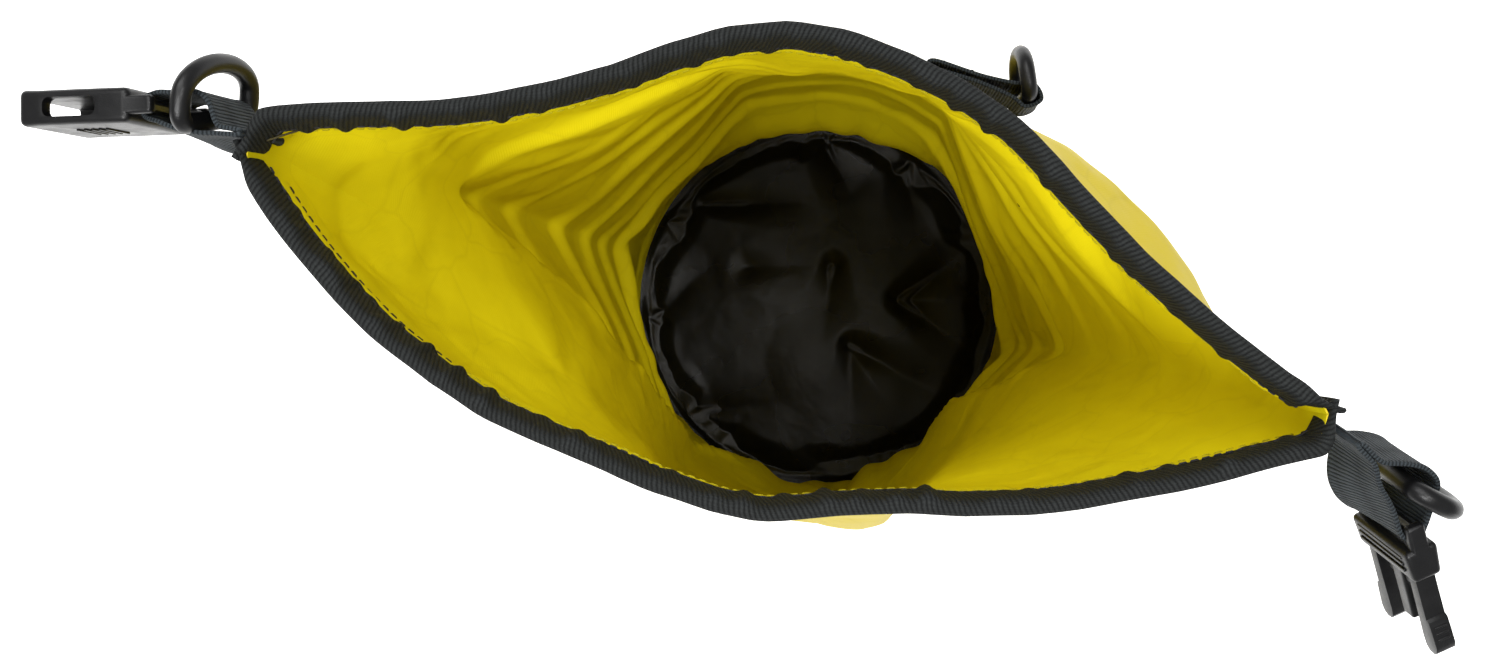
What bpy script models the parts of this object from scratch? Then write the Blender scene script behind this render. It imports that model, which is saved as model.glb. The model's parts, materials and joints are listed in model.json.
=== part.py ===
"""Roll-top dry bag, standing open on its round base.

Frame: origin at the centre of the base's underside, +Z up, +X along the mouth from the
buckle socket's corner to the buckle plug's corner, +Y towards the lash ring's side.
Lengths below are in millimetres and become metres when a mesh is made.
"""

import math

import bmesh
import bpy
import numpy as np
from mathutils import Matrix, Vector

MM = 0.001

# Driving dimensions (mm)
BASE_RADIUS = 115.0
BAG_HEIGHT = 550.0
FABRIC = 0.7
CLEARANCE = 0.4
BASE_SHEET = 1.4
SKIRT_HEIGHT = 14.0
HEM_FOOT = 522.0
TAPE_HEIGHT = 14.0
TAPE_WALL = 1.3
STRIP = 0.7
SEAM_TAPE_WIDTH = 12.0
SEAM_TAPE = 0.5
WEBBING_WIDTH = 24.4
WEBBING = 1.4
RING_ROD = 2.75
RING_WIDTH = 32.0
RING_REACH = 17.0
RING_LEG = 7.5
BUCKLE_WIDTH = 32.0
BUCKLE_DEPTH = 10.5
ARM_ROOT = 16.0
ARM_SPREAD = 10.5
COLUMNS = 20

# Mouth outline at the rim, left corner to right corner, seen from above (mm)
BACK_RIM = [(-163, 0), (-100, 21), (-64, 40), (-40, 59), (-14, 69), (16, 69), (47, 62), (81, 46), (164, 0)]
FRONT_RIM = [(-163, 0), (-134, -27), (-99, -48), (-66, -60), (-6, -67), (49, -55), (90, -41), (164, 0)]
RIM_HALF_GAP = 3.6

# Half-axes and turn of the body's section at each height (mm, degrees)
SECTIONS = [
    (1.8, 115.0, 115.0, 7.0),
    (70.0, 115.0, 115.0, 7.0),
    (150.0, 115.0, 115.0, 7.0),
    (225.0, 116.5, 113.5, 7.0),
    (300.0, 125.0, 104.5, 7.0),
    (380.0, 139.0, 89.0, 7.0),
    (455.0, 148.0, 77.0, 7.0),
]
LENS_SHARE_BELOW_HEM = 0.6
LENS_HEIGHT_BELOW_HEM = 492.0

# Hardware: corner of each tab, how its strap and buckle half point, and where its ring sits.
# Loop and ring places are in the tab's own frame: x along the strap, y across it.
LEFT = {
    "corner": Vector((-168.5, -1.0, 538.0)),
    "up": Vector((-0.165, -0.045, 0.985)),
    "tab_out": Vector((-0.975, 0.08, -0.16)),
    "buckle_out": Vector((-0.95, -0.26, -0.17)),
    "bar_reach": 22.3,
    "ring_place": Vector((8.5, -1.5, 0)),
    "ring_up": Vector((-0.2, -0.26, 0.945)),
    "ring_bow": Vector((-0.093, 0.965, 0.246)),
    "loop": [(0, -1.6), (5, -7), (10, -8.3), (17, -5.8), (22, -4.1), (26.0, 0), (22, 4.1),
             (16, 5), (9, 5), (4, 3.5), (0, 1.6)],
}
RIGHT = {
    "corner": Vector((171.0, -4.0, 538.0)),
    "up": Vector((0.305, -0.229, 0.924)),
    "tab_out": Vector((0.68, -0.64, -0.383)),
    "buckle_out": Vector((0.56, -0.75, -0.371)),
    "bar_reach": 24.3,
    "ring_place": Vector((13.5, 6.0, 0)),
    "ring_up": Vector((0.15, -0.2, 0.968)),
    "ring_bow": Vector((0.965, -0.2, -0.19)),
    "loop": [(0, -1.6), (8, -4.5), (17, -5), (24, -4.1), (28.0, 0), (25, 4.2), (20, 8.5),
             (15, 12.3), (9, 11), (4, 6.5), (0, 1.6)],
}
LASH = {
    "corner": Vector((27.0, 94.0, 400.0)),
    "up": Vector((0.0, 0.0, 1.0)),
    "tab_out": Vector((0.998, -0.06, 0.0)),
    "ring_place": Vector((36.6, 0, 0)),
    "ring_up": Vector((0.0, 0.0, 1.0)),
    "ring_bow": Vector((-0.39, 0.92, 0.0)),
    "loop": [(0, -1.3), (18, -1.3), (31, -2.6), (37, -4.4), (41.6, 0), (37, 4.4), (31, 2.6),
             (18, 1.3), (0, 1.3)],
}
PATCH_LOW = 376.0
PATCH_HIGH = 424.0
PATCH_START = 10.0
PATCH_END = 85.0
PATCH_POINTS = 4


def clear_scene():
    for old in list(bpy.data.objects):
        bpy.data.objects.remove(old, do_unlink=True)


def principled(name, colour, roughness, metallic=0.0):
    mat = bpy.data.materials.new(name)
    mat.use_nodes = True
    shader = mat.node_tree.nodes["Principled BSDF"]
    shader.inputs["Base Color"].default_value = (*colour, 1.0)
    shader.inputs["Roughness"].default_value = roughness
    shader.inputs["Metallic"].default_value = metallic
    return mat


def make_object(name, bm, mat, smooth_angle=35.0):
    """Scale a bmesh from millimetres to metres and link it as a named object."""
    bmesh.ops.scale(bm, vec=(MM, MM, MM), verts=bm.verts)
    bmesh.ops.recalc_face_normals(bm, faces=bm.faces)
    mesh = bpy.data.meshes.new(name)
    bm.to_mesh(mesh)
    bm.free()
    mesh.materials.append(mat)
    mesh.shade_smooth()
    mesh.set_sharp_from_angle(angle=math.radians(smooth_angle))
    obj = bpy.data.objects.new(name, mesh)
    bpy.context.scene.collection.objects.link(obj)
    return obj


def set_frame(obj, place, out, up):
    """Put local X along out, local Z along up, with the origin at place (mm)."""
    x = out.normalized()
    y = up.cross(x).normalized()
    z = x.cross(y)
    turn = Matrix((x, y, z)).transposed().to_4x4()
    obj.matrix_world = Matrix.Translation(place * MM) @ turn
    return obj


# ---------------------------------------------------------------- outlines

def spline_points(control, count):
    """Evenly spaced points on a smooth curve through the control points."""
    pts = np.array(control, dtype=float)
    padded = np.vstack([2 * pts[0] - pts[1], pts, 2 * pts[-1] - pts[-2]])
    dense = []
    for i in range(1, len(padded) - 2):
        p0, p1, p2, p3 = padded[i - 1:i + 3]
        for t in np.linspace(0, 1, 20, endpoint=False):
            dense.append(0.5 * (2 * p1 + (p2 - p0) * t + (2 * p0 - 5 * p1 + 4 * p2 - p3) * t ** 2
                                + (3 * p1 - p0 - 3 * p2 + p3) * t ** 3))
    dense.append(pts[-1])
    dense = np.array(dense)
    run = np.concatenate([[0], np.cumsum(np.linalg.norm(np.diff(dense, axis=0), axis=1))])
    wanted = np.linspace(0, run[-1], count)
    return np.column_stack([np.interp(wanted, run, dense[:, k]) for k in range(dense.shape[1])])


def rim_curve(side, count=COLUMNS + 1):
    """The fabric's middle line at the rim; side is +1 for the back and -1 for the front."""
    pts = spline_points(BACK_RIM if side > 0 else FRONT_RIM, count)
    pts[:, 1] += side * RIM_HALF_GAP
    return pts


def ellipse_curve(side, half_x, half_y, turn, count=COLUMNS + 1):
    """Half an ellipse from the left end to the right end, a touch clear of the other half."""
    angles = np.linspace(math.pi, 0, count)
    x = half_x * np.cos(angles)
    y = side * (half_y * np.sin(angles) + FABRIC)
    c = math.cos(math.radians(turn))
    s = math.sin(math.radians(turn))
    return np.column_stack([c * x - s * y, s * x + c * y])


def body_rows(side):
    """Heights with the section's points at each, base to rim."""
    rows = [(z, ellipse_curve(side, a, b, turn)) for z, a, b, turn in SECTIONS]
    rim = rim_curve(side)
    share = LENS_SHARE_BELOW_HEM
    rows.append((LENS_HEIGHT_BELOW_HEM, share * rim + (1 - share) * rows[-1][1]))
    rows.append((HEM_FOOT, rim))
    rows.append((BAG_HEIGHT - 3.5, rim))
    return rows


def inward_offset(pts, side, distance):
    """Points moved towards the inside of the bag by distance."""
    along = np.gradient(pts, axis=0)
    along /= np.linalg.norm(along, axis=1)[:, None]
    normal = np.column_stack([along[:, 1], -along[:, 0]]) * side
    return pts + normal * distance


# ---------------------------------------------------------------- soft parts

def sheet_object(name, rows, mat, thickness):
    """A thin sheet through rows of points (height, outline), given its thickness evenly."""
    bm = bmesh.new()
    grid = [[bm.verts.new((p[0], p[1], z)) for p in pts] for z, pts in rows]
    for low, high in zip(grid, grid[1:]):
        for i in range(len(low) - 1):
            bm.faces.new((low[i], low[i + 1], high[i + 1], high[i]))
    obj = make_object(name, bm, mat)
    solid = obj.modifiers.new("thickness", "SOLIDIFY")
    solid.thickness = thickness * MM
    solid.offset = 0.0
    solid.use_even_offset = True
    return obj


def body_panels(mat):
    for name, side in (("body_back_panel", 1), ("body_front_panel", -1)):
        sheet_object(name, body_rows(side), mat, FABRIC)


def stiffeners(mat):
    """Thin strips inside the hem, which let the mouth roll flat."""
    inset = FABRIC / 2 + CLEARANCE + STRIP / 2
    for name, side in (("rim_stiffener_back", 1), ("rim_stiffener_front", -1)):
        pts = inward_offset(rim_curve(side), side, inset)[1:-1]
        sheet_object(name, [(HEM_FOOT + 2, pts), (BAG_HEIGHT - 3.5, pts)], mat, STRIP)


def rim_bindings(mat):
    """Tape folded over the rim: a channel that holds the fabric and the stiffener."""
    slot_out = -(FABRIC / 2 + CLEARANCE)
    slot_in = FABRIC / 2 + 2 * CLEARANCE + STRIP
    top = BAG_HEIGHT
    foot = BAG_HEIGHT - TAPE_HEIGHT
    roof = BAG_HEIGHT - 2.8
    lead = 1.2
    profile = [
        (slot_out - TAPE_WALL, foot), (slot_out, foot), (slot_out, roof), (slot_in, roof),
        (slot_in, foot), (slot_in + TAPE_WALL, foot), (slot_in + TAPE_WALL, top - lead),
        (slot_in + TAPE_WALL - lead, top), (slot_out - TAPE_WALL + lead, top), (slot_out - TAPE_WALL, top - lead),
    ]
    for name, side in (("rim_binding_back", 1), ("rim_binding_front", -1)):
        rim = rim_curve(side)
        bm = bmesh.new()
        rings = []
        offsets = [inward_offset(rim, side, distance) for distance, height in profile]
        for column in range(len(rim)):
            ring = [bm.verts.new((*offsets[k][column], profile[k][1])) for k in range(len(profile))]
            rings.append(ring)
        for left, right in zip(rings, rings[1:]):
            for k in range(len(profile)):
                after = (k + 1) % len(profile)
                bm.faces.new((left[k], right[k], right[after], left[after]))
        bm.faces.new(rings[0])
        bm.faces.new(list(reversed(rings[-1])))
        make_object(name, bm, mat)


def section_at(z, side):
    """The fabric's middle line at height z, between the rows of the body."""
    rows = body_rows(side)
    for (low, low_pts), (high, high_pts) in zip(rows, rows[1:]):
        if low <= z <= high:
            share = (z - low) / (high - low)
            return low_pts * (1 - share) + high_pts * share
    return rows[-1][1]


def side_seam_tapes(mat):
    """Flat tapes over the two side seams, just outside the fabric."""
    stand_off = FABRIC / 2 + CLEARANCE + 0.6
    heights = [SKIRT_HEIGHT + 2, *[row[0] for row in SECTIONS[1:]], LENS_HEIGHT_BELOW_HEM, HEM_FOOT - 2]
    for name, end in (("side_seam_tape_left", 0), ("side_seam_tape_right", -1)):
        rows = []
        for z in heights:
            middle = (section_at(z, 1)[end] + section_at(z, -1)[end]) / 2
            outward = middle / np.linalg.norm(middle)
            across = np.array([-outward[1], outward[0]]) * SEAM_TAPE_WIDTH
            centre = middle + outward * stand_off
            rows.append((z, [centre + across * share for share in (-0.5, 0.0, 0.5)]))
        sheet_object(name, rows, mat, SEAM_TAPE)


def ring_solid(name, profile, mat, segments=56):
    """A turned ring or disc from a profile of (radius, height) points."""
    bm = bmesh.new()
    start = [bm.verts.new((r, 0, z)) for r, z in profile]
    edges = [bm.edges.new((start[i], start[(i + 1) % len(start)])) for i in range(len(start))]
    bmesh.ops.spin(bm, geom=start + edges, cent=(0, 0, 0), axis=(0, 0, 1),
                   angle=2 * math.pi, steps=segments, use_merge=True)
    bmesh.ops.remove_doubles(bm, verts=bm.verts, dist=0.001)
    return make_object(name, bm, mat)


def base_parts(sheet_mat, tape_mat):
    disc = bmesh.new()
    bmesh.ops.create_cone(disc, cap_ends=True, segments=56, radius1=BASE_RADIUS, radius2=BASE_RADIUS,
                          depth=BASE_SHEET)
    bmesh.ops.translate(disc, verts=disc.verts, vec=(0, 0, BASE_SHEET / 2))
    make_object("base_disc", disc, sheet_mat)
    inner = BASE_RADIUS + FABRIC * 1.5 + 2 * CLEARANCE
    outer = inner + 1.2
    ring_solid("base_skirt", [(inner, 0), (outer, 0), (outer, SKIRT_HEIGHT), (inner, SKIRT_HEIGHT)], sheet_mat)
    high = BASE_RADIUS - FABRIC / 2 - 2 * CLEARANCE
    low = high - 0.8
    foot = BASE_SHEET + CLEARANCE
    ring_solid("base_seam_tape", [(low, foot), (high, foot), (high, foot + 10), (low, foot + 10)], tape_mat)


# ---------------------------------------------------------------- webbing and rings

def webbing_loop(name, centre_line, mat, width=WEBBING_WIDTH, thickness=WEBBING):
    """A strap folded into a closed loop: centre_line is closed, in local X and Y."""
    pts = spline_points(centre_line + [centre_line[0]], 33)[:-1]
    before = np.roll(pts, 1, axis=0)
    after = np.roll(pts, -1, axis=0)
    along = after - before
    along /= np.linalg.norm(along, axis=1)[:, None]
    normal = np.column_stack([along[:, 1], -along[:, 0]])
    bm = bmesh.new()
    rings = []
    for z in (-width / 2, width / 2):
        for half in (-thickness / 2, thickness / 2):
            rings.append([bm.verts.new((*(p + n * half), z)) for p, n in zip(pts, normal)])
    inner_low, outer_low, inner_high, outer_high = rings
    count = len(pts)
    for i in range(count):
        j = (i + 1) % count
        bm.faces.new((outer_low[i], outer_low[j], outer_high[j], outer_high[i]))
        bm.faces.new((inner_low[j], inner_low[i], inner_high[i], inner_high[j]))
        bm.faces.new((inner_high[i], outer_high[i], outer_high[j], inner_high[j]))
        bm.faces.new((inner_low[j], outer_low[j], outer_low[i], inner_low[i]))
    return make_object(name, bm, mat)


def d_ring(name, mat, width=RING_WIDTH, reach=RING_REACH, rod=RING_ROD):
    """A moulded D-ring: its bar lies on local Z and its bow points along local Y."""
    path = [(0.0, 2.5, -width / 2), (0.0, 0.0, -width / 2 + 2.5), (0.0, 0.0, width / 2 - 2.5), (0.0, 2.5, width / 2)]
    for k in range(13):
        angle = math.pi / 2 - math.pi * k / 12
        path.append((0.0, RING_LEG + (reach - RING_LEG) * math.cos(angle), width / 2 * math.sin(angle)))
    curve = bpy.data.curves.new(name, "CURVE")
    curve.dimensions = "3D"
    curve.bevel_depth = rod * MM
    curve.bevel_resolution = 2
    curve.use_fill_caps = True
    line = curve.splines.new("POLY")
    line.points.add(len(path) - 1)
    for point, place in zip(line.points, path):
        point.co = (*[v * MM for v in place], 1.0)
    line.use_cyclic_u = True
    curve.materials.append(mat)
    obj = bpy.data.objects.new(name, curve)
    bpy.context.scene.collection.objects.link(obj)
    return obj


# ---------------------------------------------------------------- buckle

def block(x0, x1, y0, y1, z0, z1, bevel=0.0):
    """A box between two corners, with its edges rounded off if bevel is given."""
    bm = bmesh.new()
    bmesh.ops.create_cube(bm, size=1.0)
    bmesh.ops.scale(bm, vec=(x1 - x0, y1 - y0, z1 - z0), verts=bm.verts)
    bmesh.ops.translate(bm, verts=bm.verts, vec=((x0 + x1) / 2, (y0 + y1) / 2, (z0 + z1) / 2))
    if bevel:
        bmesh.ops.bevel(bm, geom=bm.edges[:], offset=bevel, segments=2, profile=0.6, affect="EDGES")
    return bm


def rod(radius, length, x=0.0, y=0.0, sides=14):
    """A round bar along local Z, centred at x and y."""
    bm = bmesh.new()
    bmesh.ops.create_cone(bm, cap_ends=True, segments=sides, radius1=radius, radius2=radius, depth=length)
    bmesh.ops.translate(bm, verts=bm.verts, vec=(x, y, 0))
    return bm


def combine(name, solid, tools, mat):
    """Apply a list of (bmesh, operation) Booleans to a solid and keep the result."""
    obj = make_object(name, solid, mat)
    for k, (tool, operation) in enumerate(tools):
        helper = make_object(f"{name}_tool_{k}", tool, mat)
        helper.hide_render = True
        helper.display_type = "WIRE"
        helper.parent = obj
        boolean = obj.modifiers.new(f"tool_{k}", "BOOLEAN")
        boolean.operation = operation
        boolean.object = helper
        boolean.solver = "EXACT"
    return obj


def buckle_socket(mat):
    """Female half: webbing bar, slot, hollow body with a side window each way."""
    half = BUCKLE_WIDTH / 2
    deep = BUCKLE_DEPTH / 2
    body = block(5.0, 42.0, -deep, deep, -half, half, bevel=1.6)
    cheek_low = block(-2.2, 6.0, -2.6, 2.6, -half, -half + 3.0)
    cheek_high = block(-2.2, 6.0, -2.6, 2.6, half - 3.0, half)
    cavity = block(15.0, 43.0, -3.3, 3.3, -12.6, 12.6)
    window = block(15.6, 33.5, -2.9, 2.9, -half - 1, half + 1)
    return combine("buckle_socket", body, [
        (cheek_low, "UNION"), (cheek_high, "UNION"), (rod(1.9, BUCKLE_WIDTH - 2), "UNION"),
        (cavity, "DIFFERENCE"), (window, "DIFFERENCE"),
    ], mat)


def buckle_plug(mat):
    """Male half without its arms: webbing bar, flared base block and centre guide."""
    half = BUCKLE_WIDTH / 2
    body = block(5.0, 15.5, -5.0, 5.0, -half, half, bevel=1.4)
    cheek_low = block(-2.2, 6.0, -2.6, 2.6, -half, -half + 3.0)
    cheek_high = block(-2.2, 6.0, -2.6, 2.6, half - 3.0, half)
    guide = block(14.0, 36.0, -2.1, 2.1, -2.6, 2.6)
    web = block(14.0, 22.0, -1.2, 1.2, -6.0, 6.0)
    return combine("buckle_plug", body, [
        (cheek_low, "UNION"), (cheek_high, "UNION"), (rod(1.9, BUCKLE_WIDTH - 2), "UNION"),
        (guide, "UNION"), (web, "UNION"),
    ], mat)


def plug_arm(name, side, mat):
    """A springing arm of the plug: slim near its root, with a wide button at its end."""
    outline = [(0, -1.2), (14, -1.4), (14.5, -2.6), (23.5, -3.6), (26, -1.5), (26, 0.6), (22, 1.8), (0, 1.2)]
    bm = bmesh.new()
    lower = [bm.verts.new((x, -2.4, -side * z)) for x, z in outline]
    face = bm.faces.new(lower)
    grown = bmesh.ops.extrude_face_region(bm, geom=[face])
    moved = [v for v in grown["geom"] if isinstance(v, bmesh.types.BMVert)]
    bmesh.ops.translate(bm, verts=moved, vec=(0, 4.8, 0))
    return make_object(name, bm, mat)


# ---------------------------------------------------------------- assembly

def place_tab(name, ring_name, spot, webbing_mat, plastic_mat):
    """One strap loop at its corner with the D-ring that hangs in it."""
    tab = set_frame(webbing_loop(name, spot["loop"], webbing_mat), spot["corner"], spot["tab_out"], spot["up"])
    turn = tab.matrix_world.to_3x3()
    ring_out = spot["ring_bow"].cross(spot["ring_up"])
    set_frame(d_ring(ring_name, plastic_mat), spot["corner"] + turn @ spot["ring_place"], ring_out, spot["ring_up"])
    return turn


def corner_hardware(webbing_mat, plastic_mat):
    """Tabs, D-rings and buckle halves at the two ends of the mouth."""
    place_tab("left_tab", "left_d_ring", LEFT, webbing_mat, plastic_mat)
    bar = LEFT["corner"] + LEFT["tab_out"].normalized() * LEFT["bar_reach"]
    set_frame(buckle_socket(plastic_mat), bar, LEFT["buckle_out"], LEFT["up"])

    place_tab("right_tab", "right_d_ring", RIGHT, webbing_mat, plastic_mat)
    bar = RIGHT["corner"] + RIGHT["tab_out"].normalized() * RIGHT["bar_reach"]
    plug = set_frame(buckle_plug(plastic_mat), bar, RIGHT["buckle_out"], RIGHT["up"])
    turn = plug.matrix_world.to_3x3()
    for name, side in (("plug_arm_upper", 1), ("plug_arm_lower", -1)):
        root = bar + turn @ Vector((ARM_ROOT, 0, side * ARM_SPREAD))
        set_frame(plug_arm(name, side, plastic_mat), root, RIGHT["buckle_out"], RIGHT["up"])


def lash_parts(webbing_mat, sheet_mat, plastic_mat):
    """Patch, strap tab and D-ring on the outside of the back."""
    place_tab("lash_tab", "lash_d_ring", LASH, webbing_mat, plastic_mat)
    stand_off = -(FABRIC / 2 + CLEARANCE + 0.4)
    rows = []
    for z in (PATCH_LOW, (PATCH_LOW + PATCH_HIGH) / 2, PATCH_HIGH):
        pts = inward_offset(section_at(z, 1), 1, stand_off)
        near = [p for p in pts if PATCH_START < p[0] < PATCH_END]
        rows.append((z, near[-PATCH_POINTS:]))
    sheet_object("lash_patch", rows, sheet_mat, SEAM_TAPE)


def main():
    clear_scene()
    yellow = principled("coated_fabric_yellow", (0.72, 0.60, 0.02), 0.38)
    black_sheet = principled("coated_fabric_black", (0.012, 0.012, 0.012), 0.3)
    tape = principled("woven_tape_black", (0.02, 0.022, 0.022), 0.85)
    webbing = principled("webbing_black", (0.022, 0.025, 0.027), 0.8)
    plastic = principled("moulded_plastic_black", (0.016, 0.016, 0.017), 0.35)
    strip = principled("stiffener_plastic", (0.5, 0.5, 0.5), 0.5)
    seam = principled("seam_tape_yellow", (0.70, 0.60, 0.06), 0.45)
    body_panels(yellow)
    stiffeners(strip)
    rim_bindings(tape)
    side_seam_tapes(seam)
    base_parts(black_sheet, seam)
    corner_hardware(webbing, plastic)
    lash_parts(webbing, black_sheet, plastic)


main()
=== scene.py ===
import json
import math

import bpy
import numpy as np
from mathutils import Matrix, Vector, noise
from mathutils.bvhtree import BVHTree


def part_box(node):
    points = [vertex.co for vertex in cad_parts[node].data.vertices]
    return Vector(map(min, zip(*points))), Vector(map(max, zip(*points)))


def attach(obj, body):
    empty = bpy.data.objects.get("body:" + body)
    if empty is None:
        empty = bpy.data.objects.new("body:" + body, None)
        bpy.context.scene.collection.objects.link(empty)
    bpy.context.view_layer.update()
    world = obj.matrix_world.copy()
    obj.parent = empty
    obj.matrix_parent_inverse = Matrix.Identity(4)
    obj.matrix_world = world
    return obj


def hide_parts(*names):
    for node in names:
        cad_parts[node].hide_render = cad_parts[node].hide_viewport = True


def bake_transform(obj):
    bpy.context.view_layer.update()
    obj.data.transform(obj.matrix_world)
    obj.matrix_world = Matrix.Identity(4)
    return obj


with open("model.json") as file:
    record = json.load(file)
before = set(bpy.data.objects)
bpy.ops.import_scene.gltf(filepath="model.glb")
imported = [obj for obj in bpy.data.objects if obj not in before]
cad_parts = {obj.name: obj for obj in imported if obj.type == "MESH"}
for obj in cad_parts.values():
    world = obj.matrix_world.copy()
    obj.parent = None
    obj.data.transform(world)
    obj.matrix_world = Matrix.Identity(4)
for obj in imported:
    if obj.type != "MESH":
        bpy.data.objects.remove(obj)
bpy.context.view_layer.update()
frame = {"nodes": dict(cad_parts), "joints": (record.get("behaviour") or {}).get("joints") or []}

mm = 0.001
joints = {joint["name"]: joint for joint in frame["joints"]}
scene = bpy.context.scene


# selecting, finishing and placing pieces

def deselectAll():
    bpy.ops.object.select_all(action="DESELECT")


def makeActive(piece):
    deselectAll()
    piece.select_set(True)
    bpy.context.view_layer.objects.active = piece


def editMode(piece, pick="SELECT"):
    makeActive(piece)
    bpy.ops.object.mode_set(mode="EDIT")
    bpy.ops.mesh.select_mode(type="VERT")
    bpy.ops.mesh.select_all(action=pick)


def objectMode():
    bpy.ops.object.mode_set(mode="OBJECT")


def pickFaces(piece, wanted):
    # faces are picked by their centre and normal, then edit mode is opened on them
    editMode(piece, "DESELECT")
    bpy.ops.mesh.select_mode(type="FACE")
    objectMode()
    for face in piece.data.polygons:
        face.select = bool(wanted(face.center, face.normal))
    bpy.ops.object.mode_set(mode="EDIT")


def faceOutwards(piece):
    editMode(piece)
    bpy.ops.mesh.normals_make_consistent(inside=False)
    objectMode()


def applyModifiers(piece):
    makeActive(piece)
    for modifier in list(piece.modifiers):
        bpy.ops.object.modifier_apply(modifier=modifier.name)


def roundEdges(piece, width, segments=3, angle=35):
    bevel = piece.modifiers.new("roundedEdges", "BEVEL")
    bevel.width = width
    bevel.segments = segments
    bevel.limit_method = "ANGLE"
    bevel.angle_limit = math.radians(angle)
    applyModifiers(piece)


def subdivide(piece):
    smooth = piece.modifiers.new("smoothing", "SUBSURF")
    smooth.levels = 1
    smooth.render_levels = 1
    applyModifiers(piece)


def giveWall(piece, thickness, offset=-1.0, innerSlot=0):
    wall = piece.modifiers.new("wall", "SOLIDIFY")
    wall.thickness = thickness
    wall.offset = offset
    wall.material_offset = innerSlot
    wall.use_even_offset = True
    applyModifiers(piece)


def combine(piece, tool, operation):
    boolean = piece.modifiers.new("combine", "BOOLEAN")
    boolean.operation = operation
    boolean.object = tool
    boolean.solver = "EXACT"
    makeActive(piece)
    bpy.ops.object.modifier_apply(modifier=boolean.name)
    bpy.data.objects.remove(tool, do_unlink=True)


def joinPieces(first, others):
    makeActive(first)
    for piece in others:
        piece.select_set(True)
    bpy.ops.object.join()
    return first


def shadeSmooth(piece, angle=40):
    makeActive(piece)
    bpy.ops.object.shade_smooth_by_angle(angle=math.radians(angle))


def setMaterials(piece, *materials):
    # clearing the slots would also clear which slot each face uses, so that is kept
    used = [face.material_index for face in piece.data.polygons]
    piece.data.materials.clear()
    for material in materials:
        piece.data.materials.append(material)
    piece.data.polygons.foreach_set("material_index", used)


def nodeCentre(name):
    places = [v.co for v in frame["nodes"][name].data.vertices]
    return sum(places, Vector()) / len(places)


def localFrame(origin, out, up):
    # takes millimetres in a piece's own frame to metres in the row frame
    x = Vector(out).normalized()
    y = Vector(up).cross(x).normalized()
    turn = Matrix((x, y, x.cross(y))).transposed().to_4x4()
    return Matrix.Translation(Vector(origin)) @ turn @ Matrix.Scale(mm, 4)


def hingeFrame(joint, node):
    # origin on the joint, local Z along its axis, local X towards the node
    origin = Vector(joints[joint]["pos_m"])
    up = Vector(joints[joint]["axis"])
    out = nodeCentre(node) - origin
    return localFrame(origin, out - up * out.dot(up), up)


def settle(piece, matrix):
    # the piece goes to its place in its mesh, and its object stays at the origin
    piece.data.transform(piece.matrix_world)
    piece.matrix_world = Matrix.Identity(4)
    piece.data.transform(matrix)
    piece.data.update()


def finishPiece(piece, name, body, materials, nodes=(), angle=40):
    piece.name = name
    piece.data.name = name
    setMaterials(piece, *materials)
    shadeSmooth(piece, angle)
    if nodes:
        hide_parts(*nodes)
    if body:
        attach(piece, body)
    return piece


def wander(x, y, z):
    # smooth noise, about -0.5 to 0.5
    return noise.noise(Vector((x, y, z)))


def smoothStep(low, high, value):
    t = min(max((value - low) / (high - low), 0.0), 1.0)
    return t * t * (3 - 2 * t)


def evenly(points, count):
    # points spread evenly along the line through points
    points = np.array(points, float)
    run = np.concatenate([[0], np.cumsum(np.linalg.norm(np.diff(points, axis=0), axis=1))])
    wanted = np.linspace(0, run[-1], count)
    return np.column_stack([np.interp(wanted, run, points[:, k]) for k in range(points.shape[1])])


def lineLength(points):
    return float(np.linalg.norm(np.diff(points, axis=0), axis=1).sum())


def smoothLine(control, count, closed=False):
    # even points on a smooth curve through the control points
    points = [np.array(p, float) for p in control]
    if closed:
        padded = [points[-1], *points, points[0], points[1]]
    else:
        padded = [2 * points[0] - points[1], *points, 2 * points[-1] - points[-2]]
    dense = []
    for p0, p1, p2, p3 in zip(padded, padded[1:], padded[2:], padded[3:]):
        for t in np.linspace(0, 1, 16, endpoint=False):
            dense.append(0.5 * (2 * p1 + (p2 - p0) * t + (2 * p0 - 5 * p1 + 4 * p2 - p3) * t ** 2
                                + (3 * p1 - p0 - 3 * p2 + p3) * t ** 3))
    dense.append(padded[-2])
    return evenly(dense, count)


def wrapGrid(name, columns, rows, place, length, width):
    # a flat grid whose points are moved to place(column, row); its map stays in metres
    deselectAll()
    bpy.ops.mesh.primitive_grid_add(x_subdivisions=columns, y_subdivisions=rows, size=1.0)
    piece = bpy.context.active_object
    piece.name = name
    for vertex in piece.data.vertices:
        column = round((vertex.co.x + 0.5) * columns)
        row = round((vertex.co.y + 0.5) * rows)
        vertex.co = place(column, row)
    for corner in piece.data.uv_layers.active.data:
        corner.uv = (corner.uv[0] * length, corner.uv[1] * width)
    editMode(piece)
    bpy.ops.mesh.remove_doubles(threshold=0.00002)
    bpy.ops.mesh.normals_make_consistent(inside=False)
    objectMode()
    return piece


# camera, floor and lights

cameraSet = {"place": (0.0216, -0.0087, 0.988), "aim": (-0.0605, -0.0226, -1.0),
             "imageUp": (-0.2638, 0.9645, 0.0), "lens": 37.2}
lightSet = {
    "key": {"place": (-0.7, 0.9, 2.2), "size": 1.4, "power": 29},
    "overhead": {"place": (0.42, 0.16, 1.9), "size": 0.35, "power": 9},
    "side": {"place": (-0.15, -0.80, 2.2), "size": 0.8, "power": 35},
}
roomStrength = 0.42
floorGlow = 0.7


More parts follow.
